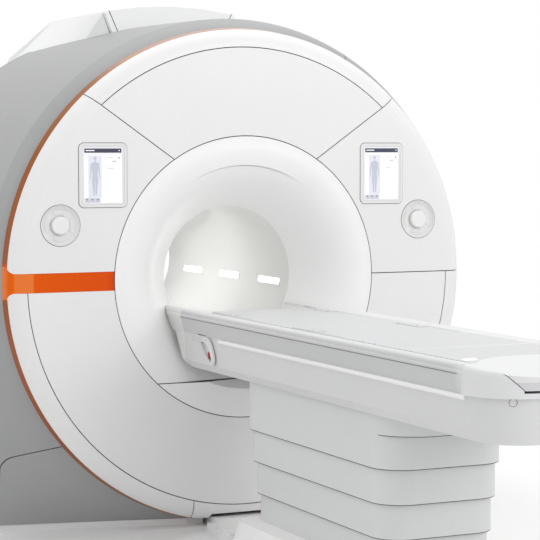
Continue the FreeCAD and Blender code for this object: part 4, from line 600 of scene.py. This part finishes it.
# depth behind the disc, foot x and z, crown x and z, height of the roof's middle
TURRET_STATIONS = (
    (0.820, 0.282, 1.085, 0.321, 1.182, 1.210), (0.846, 0.284, 1.084, 0.323, 1.182, 1.210),
    (1.000, 0.375, 1.057, 0.328, 1.182, 1.210), (1.200, 0.425, 1.037, 0.329, 1.182, 1.210),
    (1.400, 0.468, 1.018, 0.330, 1.182, 1.210), (1.590, 0.503, 1.001, 0.330, 1.182, 1.210),
    (1.640, 0.545, 0.968, 0.530, 1.000, 1.143), (1.686, 0.545, 0.935, 0.530, 0.950, 1.082),
)


def station_at(depth):
    """Station values at a depth, between the given ones."""
    for near, far in zip(TURRET_STATIONS, TURRET_STATIONS[1:]):
        if depth <= far[0]:
            share = (depth - near[0]) / (far[0] - near[0])
            return [a + (b - a) * share for a, b in zip(near, far)]
    return list(TURRET_STATIONS[-1])


def turret_section(depth, inset=0.0):
    """Closed section of the turret at a depth, moved in by an inset."""
    _, foot_x, foot_z, crown_x, crown_z, roof_z = station_at(depth)
    half = [(foot_x, foot_z - FOOT_SUNK), (crown_x + EDGE_ROUND / 3, crown_z - EDGE_ROUND),
            (crown_x, crown_z - EDGE_ROUND / 4), (crown_x - EDGE_ROUND, crown_z),
            (crown_x / 2, (crown_z + roof_z) / 2 + crown_x ** 2 / ROOF_ROUND)]
    outline = half + [(0.0, roof_z)] + [(-x, z) for x, z in half[::-1]]
    return [place(x - math.copysign(inset, x) if x else x, depth, z - inset) for x, z in outline]


cap_end = TURRET_STATIONS[1][0]
seam_end = cap_end + TURRET_SEAM
rear_depths = (seam_end,) + tuple(station[0] for station in TURRET_STATIONS[2:])
turret_plans = (
    ("turret_front_fairing", "turret_front", (TURRET_STATIONS[0][0], cap_end)),
    ("turret_rear_fairing", "turret_rear", rear_depths),
)
for name, node, depths in turret_plans:
    shell = bmesh.new()
    add_loft(shell, [turret_section(depth) for depth in depths])
    fairing = as_piece(name, shell, [turret_finish], "gantry")
    smooth_shape(fairing)
    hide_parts(node)
    print(name, "sections:", len(depths))

# %% [markdown]
# ## The seals of the turret
#
# A thin dark seal fills the joint between the turret's front cap and its rear part. A second one runs up the
# cap's front, just inside its corner. From a step away they are two fine dark lines side by side.

# %% Turret seals
seal_dark = finish("seal_rubber", (0.045, 0.045, 0.047), 0.7, mottle=0.08, grain=0.0006)
CORNER_LINE = ((0.264, 1.088), (0.307, 1.184))
CORNER_LINE_HALF = 0.0017
seals = bmesh.new()
add_loft(seals, [turret_section(depth, SEAL_SUNK) for depth in (cap_end, seam_end)])
for side in (-1, 1):
    (low_x, low_z), (high_x, high_z) = CORNER_LINE
    outline = [(side * (low_x - CORNER_LINE_HALF), low_z), (side * (low_x + CORNER_LINE_HALF), low_z),
               (side * (high_x + CORNER_LINE_HALF), high_z), (side * (high_x - CORNER_LINE_HALF), high_z)]
    add_plate(seals, outline, lambda u, v, height: place(u, TURRET_STATIONS[0][0] - height, v), 0, SEAL_SUNK)
as_piece("turret_seals", seals, [seal_dark], "gantry")
print("turret seals: 3")

# %% [markdown]
# ## Pictures on the displays
#
# Each display shows a plain page: a dark header, a column with a simple standing figure, a white field with
# a few short marks and a row of buttons. The figure is a plain sign made of ellipses and bars. Everything is
# laid out in shares of the display's width and height, so the page follows the display's size. A display
# gives its own light, so its colours have a little emission and stay clear under any lamp.

# %% Display colours and page
GLOW = 0.16
page_paints = [
    lit("page_pale", (0.83, 0.83, 0.85), GLOW),
    lit("page_header", (0.036, 0.036, 0.078), GLOW),
    lit("page_white", (0.93, 0.93, 0.94), GLOW),
    lit("page_column", (0.72, 0.72, 0.80), GLOW),
    lit("page_figure", (0.50, 0.54, 0.61), GLOW),
    lit("page_button", (0.55, 0.56, 0.63), GLOW),
    lit("page_mark", (0.20, 0.20, 0.23), GLOW),
    lit("page_faint_mark", (0.52, 0.52, 0.54), GLOW),
]
PALE, HEADER, WHITE, COLUMN, FIGURE, BUTTON, MARK, FAINT = range(len(page_paints))
PAGE_LAYERS = (0.0003, 0.0005, 0.0007)

# each field: left, top, right, bottom as shares of the display, corner share, paint, layer
PAGE_FIELDS = (
    (0.095, 0.070, 0.900, 0.935, 0.004, PALE, 0),
    (0.112, 0.083, 0.885, 0.150, 0.003, HEADER, 1),
    (0.115, 0.210, 0.190, 0.848, 0.003, WHITE, 1),
    (0.195, 0.195, 0.470, 0.848, 0.003, COLUMN, 1),
    (0.470, 0.195, 0.885, 0.848, 0.003, WHITE, 1),
    (0.115, 0.857, 0.440, 0.925, 0.006, BUTTON, 1),
    (0.455, 0.857, 0.885, 0.925, 0.006, WHITE, 1),
    (0.140, 0.106, 0.325, 0.124, 0.006, PALE, 2),
    (0.826, 0.106, 0.850, 0.125, 0.006, PALE, 2),
    (0.150, 0.213, 0.180, 0.222, 0.004, FAINT, 2),
    (0.465, 0.213, 0.500, 0.222, 0.004, FAINT, 2),
    (0.605, 0.221, 0.715, 0.232, 0.004, FAINT, 2),
    (0.822, 0.216, 0.850, 0.241, 0.005, MARK, 2),
    (0.685, 0.277, 0.778, 0.287, 0.004, MARK, 2),
    (0.612, 0.345, 0.642, 0.353, 0.003, FAINT, 2),
    (0.600, 0.395, 0.728, 0.406, 0.004, FAINT, 2),
    (0.217, 0.860, 0.221, 0.922, 0.001, PALE, 2),
    (0.327, 0.860, 0.331, 0.922, 0.001, PALE, 2),
)


def figure_outlines(middle):
    """A plain standing figure as outlines in shares of the display: head, neck, trunk, arms and legs."""
    head = ellipse(middle, 0.236, 0.062, 0.052)
    neck = soft_rectangle(middle - 0.012, 0.25, middle + 0.012, 0.30, 0.004)
    trunk = [(middle - 0.040, 0.296), (middle + 0.040, 0.296), (middle + 0.075, 0.320),
             (middle + 0.066, 0.430), (middle + 0.052, 0.500), (middle + 0.066, 0.590),
             (middle - 0.066, 0.590), (middle - 0.052, 0.500), (middle - 0.066, 0.430),
             (middle - 0.075, 0.320)]
    shapes = [head, neck, trunk]
    for side in (-1, 1):
        arm = [(middle + side * 0.062, 0.305), (middle + side * 0.086, 0.320),
               (middle + side * 0.104, 0.450), (middle + side * 0.100, 0.560),
               (middle + side * 0.084, 0.562), (middle + side * 0.080, 0.450),
               (middle + side * 0.064, 0.360)]
        leg = [(middle + side * 0.004, 0.580), (middle + side * 0.066, 0.580),
               (middle + side * 0.044, 0.720), (middle + side * 0.034, 0.815),
               (middle + side * 0.008, 0.815), (middle + side * 0.006, 0.720)]
        shapes += [arm, leg]
    return shapes


# %% [markdown]
# ## The plates of a display's page
#
# Every field of the page is a thin plate. One that lies on another is a little higher, so that no two
# surfaces share a plane and flicker. The figure's own pieces overlap, so each is a hundredth of a millimetre
# higher than the one before.

# %% Display pieces
DISPLAY_HALF = 0.105
FIGURE_MIDDLE = 0.332
FIGURE_STEP = 0.00001
# the three round marks on the page's button row, and the short line under each
MARK_MIDDLES = (0.165, 0.273, 0.384)
MARK_DOWN, MARK_WIDE, MARK_TALL = 0.876, 0.034, 0.022
LINE_TOP, LINE_FOOT, LINE_HALF, LINE_CORNER = 0.902, 0.908, 0.03, 0.002

for side in ("left", "right"):
    bezel_low, bezel_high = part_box(f"{side}_display_bezel")
    glass_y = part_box(f"{side}_display_screen")[0].y
    middle_x = (bezel_low.x + bezel_high.x) / 2
    wide = 2 * DISPLAY_HALF
    tall = bezel_high.z - bezel_low.z - (bezel_high.x - bezel_low.x - wide)

    def on_screen(u, v, height):
        """A share of the display's width and height, a height in front of its glass."""
        return Vector((middle_x + (u - 0.5) * wide, glass_y - height,
                       (bezel_low.z + bezel_high.z) / 2 + (0.5 - v) * tall))

    page = bmesh.new()
    for left, top, right, bottom, corner, paint, layer in PAGE_FIELDS:
        outline = soft_rectangle(left, top, right, bottom, corner)
        add_plate(page, outline, on_screen, 0, PAGE_LAYERS[layer], paint)
    for number, outline in enumerate(figure_outlines(FIGURE_MIDDLE)):
        add_plate(page, outline, on_screen, 0, PAGE_LAYERS[2] + FIGURE_STEP * number, FIGURE)
    for middle in MARK_MIDDLES:
        mark = ellipse(middle, MARK_DOWN, MARK_WIDE, MARK_TALL)
        line = soft_rectangle(middle - LINE_HALF, LINE_TOP, middle + LINE_HALF, LINE_FOOT, LINE_CORNER)
        add_plate(page, mark, on_screen, 0, PAGE_LAYERS[2], MARK)
        add_plate(page, line, on_screen, 0, PAGE_LAYERS[2], FAINT)
    as_piece(f"{side}_display_page", page, page_paints, "gantry")
    print(side, "display", round(wide, 3), "by", round(tall, 3))

# %% [markdown]
# ## Painted shade round the displays and dishes
#
# A dark strip in the open line round each display and dish paints the shade that falls into that gap, and
# draws the fine dark line round each of them. The strips lie in the open line, just under the face.

# %% Painted shade strips round the displays and dishes
# dark strips that paint the shade in the open lines round displays and dishes; the corner caps' seals use the
# same dark finish
seal_and_gap_shade = finish("gasket_painted_shade", (0.10, 0.10, 0.10), 0.7, mottle=0.1, grain=0.0008)
GAP_SHADE_WIDE = 0.0022
GAP_SHADE_SUNK = 0.0006
GAP_SHADE_DEEP = 0.0040
DISPLAY_CORNER = 0.022
PLAY = 0.0001
GAP_SHADE_EDGES = (PLAY, PLAY + GAP_SHADE_WIDE)
CORNER_STEPS = 8
DISH_STEPS = 96


def on_face(u, v, height):
    """A point of the disc's flat face, a height in front of it."""
    return Vector((u, FACE_Y - height, v))


for side in ("left", "right"):
    bezel_low, bezel_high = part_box(f"{side}_display_bezel")
    flange = (bezel_high.x - bezel_low.x) / 2 - DISPLAY_HALF
    low_x, high_x = bezel_low.x + flange, bezel_high.x - flange
    low_z, high_z = bezel_low.z + flange, bezel_high.z - flange
    inner, outer = (soft_rectangle(low_x - grow, low_z - grow, high_x + grow, high_z + grow,
                                   DISPLAY_CORNER + grow, CORNER_STEPS) for grow in GAP_SHADE_EDGES)
    strip = bmesh.new()
    add_ring(strip, outer, inner, on_face, -GAP_SHADE_DEEP, -GAP_SHADE_SUNK)
    as_piece(f"{side}_display_gap_shade", strip, [seal_and_gap_shade], "gantry")

    dish_low, dish_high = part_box(f"{side}_control_dish")
    knob_low, knob_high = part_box(f"{side}_knob")
    dish_x = (knob_low.x + knob_high.x) / 2
    dish_z = (knob_low.z + knob_high.z) / 2
    dish_r = (dish_high.x - dish_low.x) / 2 - flange
    inner, outer = (ellipse(dish_x, dish_z, 2 * (dish_r + grow), 2 * (dish_r + grow), DISH_STEPS)
                    for grow in GAP_SHADE_EDGES)
    strip = bmesh.new()
    add_ring(strip, outer, inner, on_face, -GAP_SHADE_DEEP, -GAP_SHADE_SUNK)
    as_piece(f"{side}_dish_gap_shade", strip, [seal_and_gap_shade], "gantry")
    print(side, "dish radius", round(dish_r, 4))

# %% [markdown]
# ## Frames round the bore lights
#
# Each light in the bore sits in a slightly raised pale frame. The frame follows the bore's curve, so its
# outline is laid out as depth along the bore and arc length round it.

# %% Bore light frames
LIGHT_DOWN = 8.9
LIGHT_TALL = 0.0278
FRAME_WIDE = 0.007
FRAME_HIGH = 0.0012
LIGHT_LONG = 0.225
LIGHT_STEP = 0.447
LIGHT_FIRST = 0.270
LIGHT_COUNT = 3
# the frame laps over the lens's edge, and starts just off the wall
LIGHT_CORNER = 0.006
FRAME_CORNER = 0.013
FRAME_LAP = 0.001
FRAME_FROM = 0.00002
frame_paint = finish("light_frame_plastic", (0.86, 0.86, 0.85), 0.4)

frames = bmesh.new()
for side in (-1, 1):
    def on_bore(u, v, height):
        """Depth along the bore and arc length round it, a height inside its wall."""
        angle = math.radians(LIGHT_DOWN) + v / BORE_R
        radius = BORE_R - height
        return place(side * radius * math.cos(angle), u, -radius * math.sin(angle))

    for number in range(LIGHT_COUNT):
        start = LIGHT_FIRST + number * LIGHT_STEP
        end = start + LIGHT_LONG
        inner = soft_rectangle(start + FRAME_LAP, -LIGHT_TALL / 2 + FRAME_LAP, end - FRAME_LAP,
                               LIGHT_TALL / 2 - FRAME_LAP, LIGHT_CORNER)
        outer = soft_rectangle(start - FRAME_WIDE, -LIGHT_TALL / 2 - FRAME_WIDE, end + FRAME_WIDE,
                               LIGHT_TALL / 2 + FRAME_WIDE, FRAME_CORNER)
        add_ring(frames, outer, inner, on_bore, FRAME_FROM, FRAME_HIGH)
as_piece("bore_light_frames", frames, [frame_paint], "gantry")
print("light frames:", 2 * LIGHT_COUNT)

# %% [markdown]
# ## Small things on the table
#
# The board has a fine cross joint, a white grip at the foot panel's corner and small fasteners. All are thin
# plates on its top, and each rides on the body that it is fixed to.

# %% Table details
BOARD_DOWN = 0.1286
BOARD_TOP = place(0, 0, -BOARD_DOWN).z
white_gloss_and_highlight = finish("grip_white_gloss", (0.90, 0.90, 0.90), 0.25, coat=0.3)
mark_grey = finish("fastener_grey", (0.22, 0.22, 0.22), 0.5, mottle=0.05)
button_red = finish("button_red", (0.42, 0.018, 0.022), 0.35, mottle=0.05, coat=0.3)
patch_grey = finish("label_field_grey", (0.66, 0.66, 0.65), 0.4)


def on_board(u, v, height):
    """A point of the board's top, from the disc's centre, a height over it."""
    spot = place(u, v, 0)
    return Vector((spot.x, spot.y, BOARD_TOP + height))


JOINT_Y = -1.878
JOINT_HALF_LONG, JOINT_HALF_WIDE = 0.248, 0.003
JOINT_CORNER, JOINT_HIGH = 0.002, 0.0006
joint = bmesh.new()
joint_outline = soft_rectangle(-JOINT_HALF_LONG, JOINT_Y - JOINT_HALF_WIDE,
                               JOINT_HALF_LONG, JOINT_Y + JOINT_HALF_WIDE, JOINT_CORNER)
add_plate(joint, joint_outline, on_board, 0, JOINT_HIGH)
as_piece("board_cross_joint", joint, [white_gloss_and_highlight], body_of["tabletop"])

GRIP_OUTLINE = ((-0.250, -2.268), (-0.236, -2.214), (-0.176, -2.196), (-0.168, -2.204), (-0.186, -2.232),
                (-0.196, -2.262), (-0.230, -2.276))
GRIP_HIGH = 0.0012
grip = bmesh.new()
add_plate(grip, GRIP_OUTLINE, on_board, 0, GRIP_HIGH)
as_piece("foot_panel_grip", grip, [white_gloss_and_highlight], body_of["foot_panel"])

# %% Fasteners of the board
EDGE_HEADS = ((-0.2508, -1.571), (-0.2508, -1.664))
EDGE_HEAD_WIDE, EDGE_HEAD_LONG, EDGE_HEAD_HIGH = 0.005, 0.007, 0.0008
ROW_START, ROW_STEP = (0.100, -0.292), (0.014, -0.012)
ROW_COUNT = 6
ROW_HEAD, ROW_HEAD_HIGH = 0.0045, 0.0006
SOCKETS_Y = (-0.230, -0.990)
SOCKET_HEAD_X, SOCKET_HEAD_BACK = 0.222, 0.135
SOCKET_HEAD, SOCKET_TOP, SOCKET_HEAD_HIGH = 0.008, 0.0024, 0.0032
dots = bmesh.new()
for x, y in EDGE_HEADS:
    add_plate(dots, ellipse(x, y, EDGE_HEAD_WIDE, EDGE_HEAD_LONG), on_board, 0, EDGE_HEAD_HIGH)
for number in range(ROW_COUNT):
    x, y = (start + step * number for start, step in zip(ROW_START, ROW_STEP))
    add_plate(dots, ellipse(x, y, ROW_HEAD, ROW_HEAD), on_board, 0, ROW_HEAD_HIGH)
for side in (-1, 1):
    for socket_y in SOCKETS_Y:
        head = ellipse(side * SOCKET_HEAD_X, socket_y - SOCKET_HEAD_BACK, SOCKET_HEAD, SOCKET_HEAD)
        add_plate(dots, head, on_board, SOCKET_TOP, SOCKET_HEAD_HIGH)
as_piece("board_fasteners", dots, [mark_grey], body_of["tabletop"])
print("board pieces: cross joint, grip, fasteners")

# %% [markdown]
# ## Corner caps
#
# A round cap with a thin dark seal sits on each patient-end corner of the body. It is laid out on a plane that
# is turned to face the way the corner does.

# %% Corner caps of the table body
CAP_R = 0.0115
CAP_PLACE = (0.2206, -2.508, -0.2345)
CAP_TURN = 56.0
CAP_SUNK, CAP_HIGH = -0.003, 0.0012
CAP_SEAL_WIDE, CAP_SEAL_HIGH = 0.0016, 0.0004


def corner_caps(name, radius, high, hole, paint):
    """One round cap, or a ring if it has a hole, on each patient-end corner, square to its surface."""
    mesh = bmesh.new()
    for side in (-1, 1):
        centre = place(side * CAP_PLACE[0], CAP_PLACE[1], CAP_PLACE[2])
        out = Vector((side * math.cos(math.radians(CAP_TURN)), -math.sin(math.radians(CAP_TURN)), 0))
        across = Vector((-out.y, out.x, 0))

        def on_corner(u, v, height):
            """A point of the corner's plane, a height in front of it."""
            return centre + across * u + Vector((0, 0, v)) + out * height

        outline = ellipse(0, 0, 2 * radius, 2 * radius)
        if hole:
            add_ring(mesh, outline, ellipse(0, 0, 2 * hole, 2 * hole), on_corner, CAP_SUNK, high)
        else:
            add_plate(mesh, outline, on_corner, CAP_SUNK, high)
    as_piece(name, mesh, [paint], body_of["table_body"])


corner_caps("corner_caps", CAP_R, CAP_HIGH, 0, finishes["body_grey"])
corner_caps("corner_cap_seals", CAP_R + CAP_SEAL_WIDE, CAP_SEAL_HIGH, CAP_R, seal_and_gap_shade)
print("corner caps: 2")

# %% [markdown]
# ## The release lever's surroundings
#
# The lever turns on a pin, whose end shows as a small plug that swings with it. Behind it a red push button
# stands in a hollow of the body's side. The button is a low dome, built from a few plates that shrink as they
# rise, which is enough at its size. A plain grey field lies beside the lever.

# %% Release lever details
LEVER_PIN = (-0.314, -0.233)
PLUG_WIDE, PLUG_HIGH = 0.006, 0.0006
RECESS_X = -0.286
SIDE_X = -0.300


def on_side(x):
    """Maps depth and height from the disc's centre onto a plane facing -X."""
    return lambda u, v, height: place(x - height, u, v)


lever_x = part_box("release_lever")[0].x
plug = bmesh.new()
add_plate(plug, ellipse(*LEVER_PIN, PLUG_WIDE, PLUG_WIDE), on_side(lever_x), 0, PLUG_HIGH)
as_piece("lever_pivot_plug", plug, [mark_grey], body_of["release_lever"])

RED_PLACE = (-0.3010, -0.2990)
RED_WIDE = 0.016
RED_TALL = 0.034
RED_HIGH = 0.010
RED_LAYERS = 4
lean = math.radians(20.0)


def leaned(u, v):
    """A point of the push button's outline, turned to its lean."""
    return (RED_PLACE[0] + u * math.cos(lean) + v * math.sin(lean),
            RED_PLACE[1] - u * math.sin(lean) + v * math.cos(lean))


dome = bmesh.new()
for layer in range(RED_LAYERS):
    share = math.cos(math.radians(90 / RED_LAYERS * layer))
    height = RED_HIGH * math.sin(math.radians(90 / RED_LAYERS * (layer + 1)))
    outline = [leaned(u, v) for u, v in ellipse(0, 0, RED_WIDE * share, RED_TALL * share)]
    add_plate(dome, outline, on_side(RECESS_X), 0, height)
as_piece("release_push_button", dome, [button_red], body_of["table_body"])

FIELD_BOX = (-0.232, -0.256, -0.135, -0.230)
FIELD_CORNER, FIELD_HIGH = 0.003, 0.0005
field = bmesh.new()
add_plate(field, soft_rectangle(*FIELD_BOX, FIELD_CORNER), on_side(SIDE_X), 0, FIELD_HIGH)
as_piece("body_label_field", field, [patch_grey], body_of["table_body"])
print("lever pieces: plug, push button, plain field")

# %% [markdown]
# ## The table's ledge highlight and the painted shade under its lip
#
# The table body has a soft bead along each straight side, just under the tray. It faces up, so it catches the
# light, and its gloss is whiter than the body's, which paints more highlight on top of that; it stops square
# at the patient-end corner. A thin dark strip just under the tray's lip paints the shade of the lip's
# undercut. Both are long sections of constant shape, so each is a loft between two copies of one outline.

# %% Ledge beads with painted highlight, and strips of painted shade
# the bead is a whiter gloss than the body, a painted highlight on its real rounded edge
BEAD_FROM, BEAD_TO = -2.360, -0.430
BEAD_SECTION = ((0.2990, -0.2228), (0.3025, -0.2228), (0.3055, -0.2245), (0.3078, -0.2280),
                (0.3084, -0.2325), (0.3072, -0.2368), (0.3045, -0.2398), (0.2990, -0.2408))
# the dark strip under the tray's lip is painted shade of its undercut
STRIP_FROM, STRIP_TO = -2.330, -0.056
STRIP_Z = -0.158
STRIP_HALF = 0.0014
STRIP_HIGH = 0.0005
STRIP_SUNK = 0.001
tray_low, tray_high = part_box("table_tray")
tray_half = (tray_high.x - tray_low.x) / 2
inner_x, outer_x = tray_half - STRIP_SUNK, tray_half + STRIP_HIGH
low_z, high_z = STRIP_Z - STRIP_HALF, STRIP_Z + STRIP_HALF
strip_section = ((inner_x, low_z), (outer_x, low_z), (outer_x, high_z), (inner_x, high_z))
beads, strips = bmesh.new(), bmesh.new()
for side in (-1, 1):
    add_loft(beads, [[place(side * x, y, z) for x, z in BEAD_SECTION] for y in (BEAD_FROM, BEAD_TO)])
    add_loft(strips, [[place(side * x, y, z) for x, z in strip_section] for y in (STRIP_FROM, STRIP_TO)])
smooth_shape(as_piece("body_ledge_beads_painted_highlight", beads, [white_gloss_and_highlight], body_of["table_body"]))
as_piece("tray_lip_painted_shade", strips, [mark_grey], body_of["table_tray"])
print("tray half width", round(tray_half, 4))

# %% [markdown]
# ## Painted shadow under the lift covers
#
# The lift covers slide inside each other. A dark strip under each cover's lower edge paints the thin shadow
# line between the tiers. Each rides with the cover that carries it.

# %% Painted shadow strips of the lift covers
SHADOW_STRIP_TALL = 0.003
SHADOW_STRIP_OUT, SHADOW_STRIP_IN = 0.0005, 0.0028
# the top cover from above: half its width, its patient end, its head end and its corners' radius
COVER_PLAN = (0.2527, -1.754, -0.5215, 0.121)
# how much each next cover is smaller at a side, at the patient end and at the head end
COVER_STEP = (0.0084, 0.0188, 0.0233)
# dark strips that paint the contact shadow under each cover's lower edge
painted_shadow_dark = finish("painted_shadow_line", (0.13, 0.13, 0.13), 0.7, mottle=0.08, grain=0.0006)


def cover_plan(number, inset):
    """Outline of a lift cover seen from above, moved in by an inset."""
    half, end, head, corner = COVER_PLAN
    narrow, at_end, at_head = (number * step for step in COVER_STEP)
    return soft_rectangle(-(half - narrow - inset), end + at_end + inset, half - narrow - inset,
                          head - at_head - inset, corner - narrow - inset, CORNER_STEPS)


def on_level(level):
    """Maps a plan outline from the disc's centre onto a level, with a height over it."""
    return lambda u, v, height: Vector((u, place(0, v, 0).y, level + height))


for number, node in enumerate(("lift_cover_1", "lift_cover_2", "lift_cover_3")):
    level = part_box(node)[0].z
    outer, inner = (cover_plan(number, inset) for inset in (SHADOW_STRIP_OUT, SHADOW_STRIP_IN))
    shadow_strip = bmesh.new()
    add_ring(shadow_strip, outer, inner, on_level(level), -SHADOW_STRIP_TALL, 0)
    as_piece(f"{node}_wiper", shadow_strip, [painted_shadow_dark], body_of[node])
    print(node, "lower edge at", round(level, 4))

# %% [markdown]
# ## Painted shadow under the collar
#
# The top cover has a collar that reaches further at the patient end, and a fine dark strip under it there
# paints its shadow. The strip starts as a whole ring, like the painted shadow strips of the covers. It is then
# cut off behind the patient end, because the next cover rises past the rest of it when the table goes down.

# %% Painted shadow strip under the collar
COLLAR_Z = -0.443
COLLAR_REACH = 0.042
COLLAR_PLAY = 0.001
COLLAR_STRIP_IN = 0.0016
COLLAR_STRIP_SHORT = 0.020


def collar_plan(inset):
    """Outline of the top cover's collar, which reaches further at the patient end, moved in by an inset."""
    half, end, head, corner = COVER_PLAN
    inset += COLLAR_PLAY
    return soft_rectangle(-(half - inset), end - COLLAR_REACH + inset, half - inset, head - inset,
                          corner + COLLAR_REACH - inset, CORNER_STEPS)


# a dark strip that paints the shadow under the collar
collar_shadow_mesh = bmesh.new()
collar_level = place(0, 0, COLLAR_Z).z
outer, inner = (collar_plan(inset) for inset in (SHADOW_STRIP_OUT, COLLAR_STRIP_IN))
add_ring(collar_shadow_mesh, outer, inner, on_level(collar_level), -SHADOW_STRIP_TALL, 0)
cut_away(collar_shadow_mesh, place(0, COVER_PLAN[1] + COVER_PLAN[3] - COLLAR_STRIP_SHORT, 0), (0, -1, 0))
as_piece("collar_shadow_strip", collar_shadow_mesh, [painted_shadow_dark], body_of["lift_cover_1"])
print("collar strip at", round(collar_level, 4))

# %% [markdown]
# ## Painted shade on the tray's sides
#
# The tray's upright sides are a shade greyer than its top, up to the white end cap, as painted shade on the
# sides that face away from the light and painted light on the end cap that faces it. The tone follows the
# surface's own direction and its place along the table, both of which stay put when the view moves.

# %% Tray tone with painted shade
CAP_FROM, CAP_FULL = -2.30, -2.38
UPWARD_FROM, UPWARD_FULL = 0.25, 0.75
tray_paint_and_shade = finish("tray_gel_coat_painted_shade", TABLE_WHITE, 0.36, wave=0.0004, coat=0.1)
tree = tray_paint_and_shade.node_tree
facing = tree.nodes.new("ShaderNodeSeparateXYZ")
tree.links.new(tree.nodes.new("ShaderNodeNewGeometry").outputs["Normal"], facing.inputs[0])
upward = share_between(tree, facing.outputs["Z"], UPWARD_FROM, UPWARD_FULL)
cap_from, cap_full = (place(0, depth, 0).y for depth in (CAP_FROM, CAP_FULL))
at_cap = share_between(tree, surface_place(tree)["Y"], cap_from, cap_full)
white_and_lit_share = combined(tree, "MAXIMUM", upward.outputs["Result"], at_cap.outputs["Result"])
tone = tree.nodes.new("ShaderNodeMix")
tone.data_type = "RGBA"
# sides facing away from the light get the grey as painted shade; upward faces and the end cap stay white as
# painted light
tone.inputs["A"].default_value = shade(SIDE_GREY_AND_SHADE)
tree.links.new(white_and_lit_share, tone.inputs["Factor"])
tree.links.new(tree.nodes["tint"].outputs["Result"], tone.inputs["B"])
tree.links.new(tone.outputs["Result"], tree.nodes["Principled BSDF"].inputs["Base Color"])
nodes["table_tray"].data.materials[0] = tray_paint_and_shade
print("tray tone set")

# %% [markdown]
# ## Floor
#
# The machine stands on a pale, slightly glossy floor, which takes its shadow and a faint reflection. Far from
# the machine, camera rays see the floor as plain white.

# %% Floor
FLOOR_REACH = 30.0
WHITE_FROM = 1.9
WHITE_AT = 3.0
SHADOW_SIDE = (-1.0, 0.4, 0.0)
floor_mesh = bpy.data.meshes.new("floor")
floor_mesh.from_pydata([(-FLOOR_REACH, -FLOOR_REACH, 0), (FLOOR_REACH, -FLOOR_REACH, 0),
                        (FLOOR_REACH, FLOOR_REACH, 0), (-FLOOR_REACH, FLOOR_REACH, 0)], [], [(0, 1, 2, 3)])
floor = bpy.data.objects.new("floor", floor_mesh)
floor.location = SHADOW_SIDE
bpy.context.scene.collection.objects.link(floor)

vinyl = finish("floor_vinyl", (0.88, 0.88, 0.88), 0.16, mottle=0.01, grain=0.0001)
tree = vinyl.node_tree
length = tree.nodes.new("ShaderNodeVectorMath")
length.operation = "LENGTH"
tree.links.new(tree.nodes.new("ShaderNodeTexCoord").outputs["Object"], length.inputs[0])
far_share = share_between(tree, length.outputs["Value"], WHITE_FROM, WHITE_AT)
far_share.interpolation_type = "SMOOTHSTEP"
camera_ray = tree.nodes.new("ShaderNodeLightPath").outputs["Is Camera Ray"]
seen_white = combined(tree, "MULTIPLY", far_share.outputs["Result"], camera_ray)
plain = tree.nodes.new("ShaderNodeEmission")
blend = tree.nodes.new("ShaderNodeMixShader")
tree.links.new(seen_white, blend.inputs[0])
tree.links.new(tree.nodes["Principled BSDF"].outputs[0], blend.inputs[1])
tree.links.new(plain.outputs[0], blend.inputs[2])
tree.links.new(blend.outputs[0], tree.nodes["Material Output"].inputs["Surface"])
floor_mesh.materials.append(vinyl)

# %% [markdown]
# ## Lamps and room
#
# A white room gives most of the light. One large soft lamp stands at the front right, and weaker ones above
# and at the left, so forms stay readable. A small lamp inside the bore stands in for its own lighting, and is
# kept out of reflections. The room itself is plain white to the camera and in gloss and glass.

# %% Lamps and room


def lamp(name, centre, aim, wide, tall, power, seen=True):
    """Soft rectangular lamp that points at a place."""
    data = bpy.data.lights.new(name, "AREA")
    data.shape = "RECTANGLE"
    data.size = wide
    data.size_y = tall
    data.energy = power
    thing = bpy.data.objects.new(name, data)
    bpy.context.scene.collection.objects.link(thing)
    way = Vector(aim) - Vector(centre)
    turn = way.to_track_quat("-Z", "Y").to_matrix().to_4x4()
    thing.matrix_world = Matrix.Translation(Vector(centre)) @ turn
    thing.visible_camera = False
    thing.visible_glossy = seen


WORLD_LEVEL = 0.84
lamp("front_lamp", (4.0, -8.0, 4.2), (0.0, 0.0, 1.0), wide=5.0, tall=4.0, power=165.0)
lamp("top_lamp", (0.3, 0.6, 5.5), (0.3, 0.3, 0.0), wide=5.0, tall=4.0, power=70.0)
lamp("left_lamp", (-7.0, 1.0, 5.0), (0.0, 0.5, 1.2), wide=3.0, tall=3.0, power=36.0)
lamp("bore_lamp", place(0.0, 1.0, 0.2), place(0.0, 0.9, -0.3), wide=0.3, tall=0.9, power=1.8, seen=False)

world = bpy.data.worlds.new("room")
bpy.context.scene.world = world
world.use_nodes = True
sky = world.node_tree
back = sky.nodes["Background"]
rays = sky.nodes.new("ShaderNodeLightPath")
white_rays = rays.outputs["Is Camera Ray"]
for name in ("Is Glossy Ray", "Is Transmission Ray"):
    white_rays = combined(sky, "MAXIMUM", white_rays, rays.outputs[name])
level = sky.nodes.new("ShaderNodeMapRange")
level.inputs["To Min"].default_value = WORLD_LEVEL
level.inputs["To Max"].default_value = 1.0
sky.links.new(white_rays, level.inputs["Value"])
sky.links.new(level.outputs["Result"], back.inputs["Strength"])
back.inputs["Color"].default_value = (1.0, 1.0, 1.0, 1.0)
bpy.context.scene.view_settings.view_transform = "Standard"
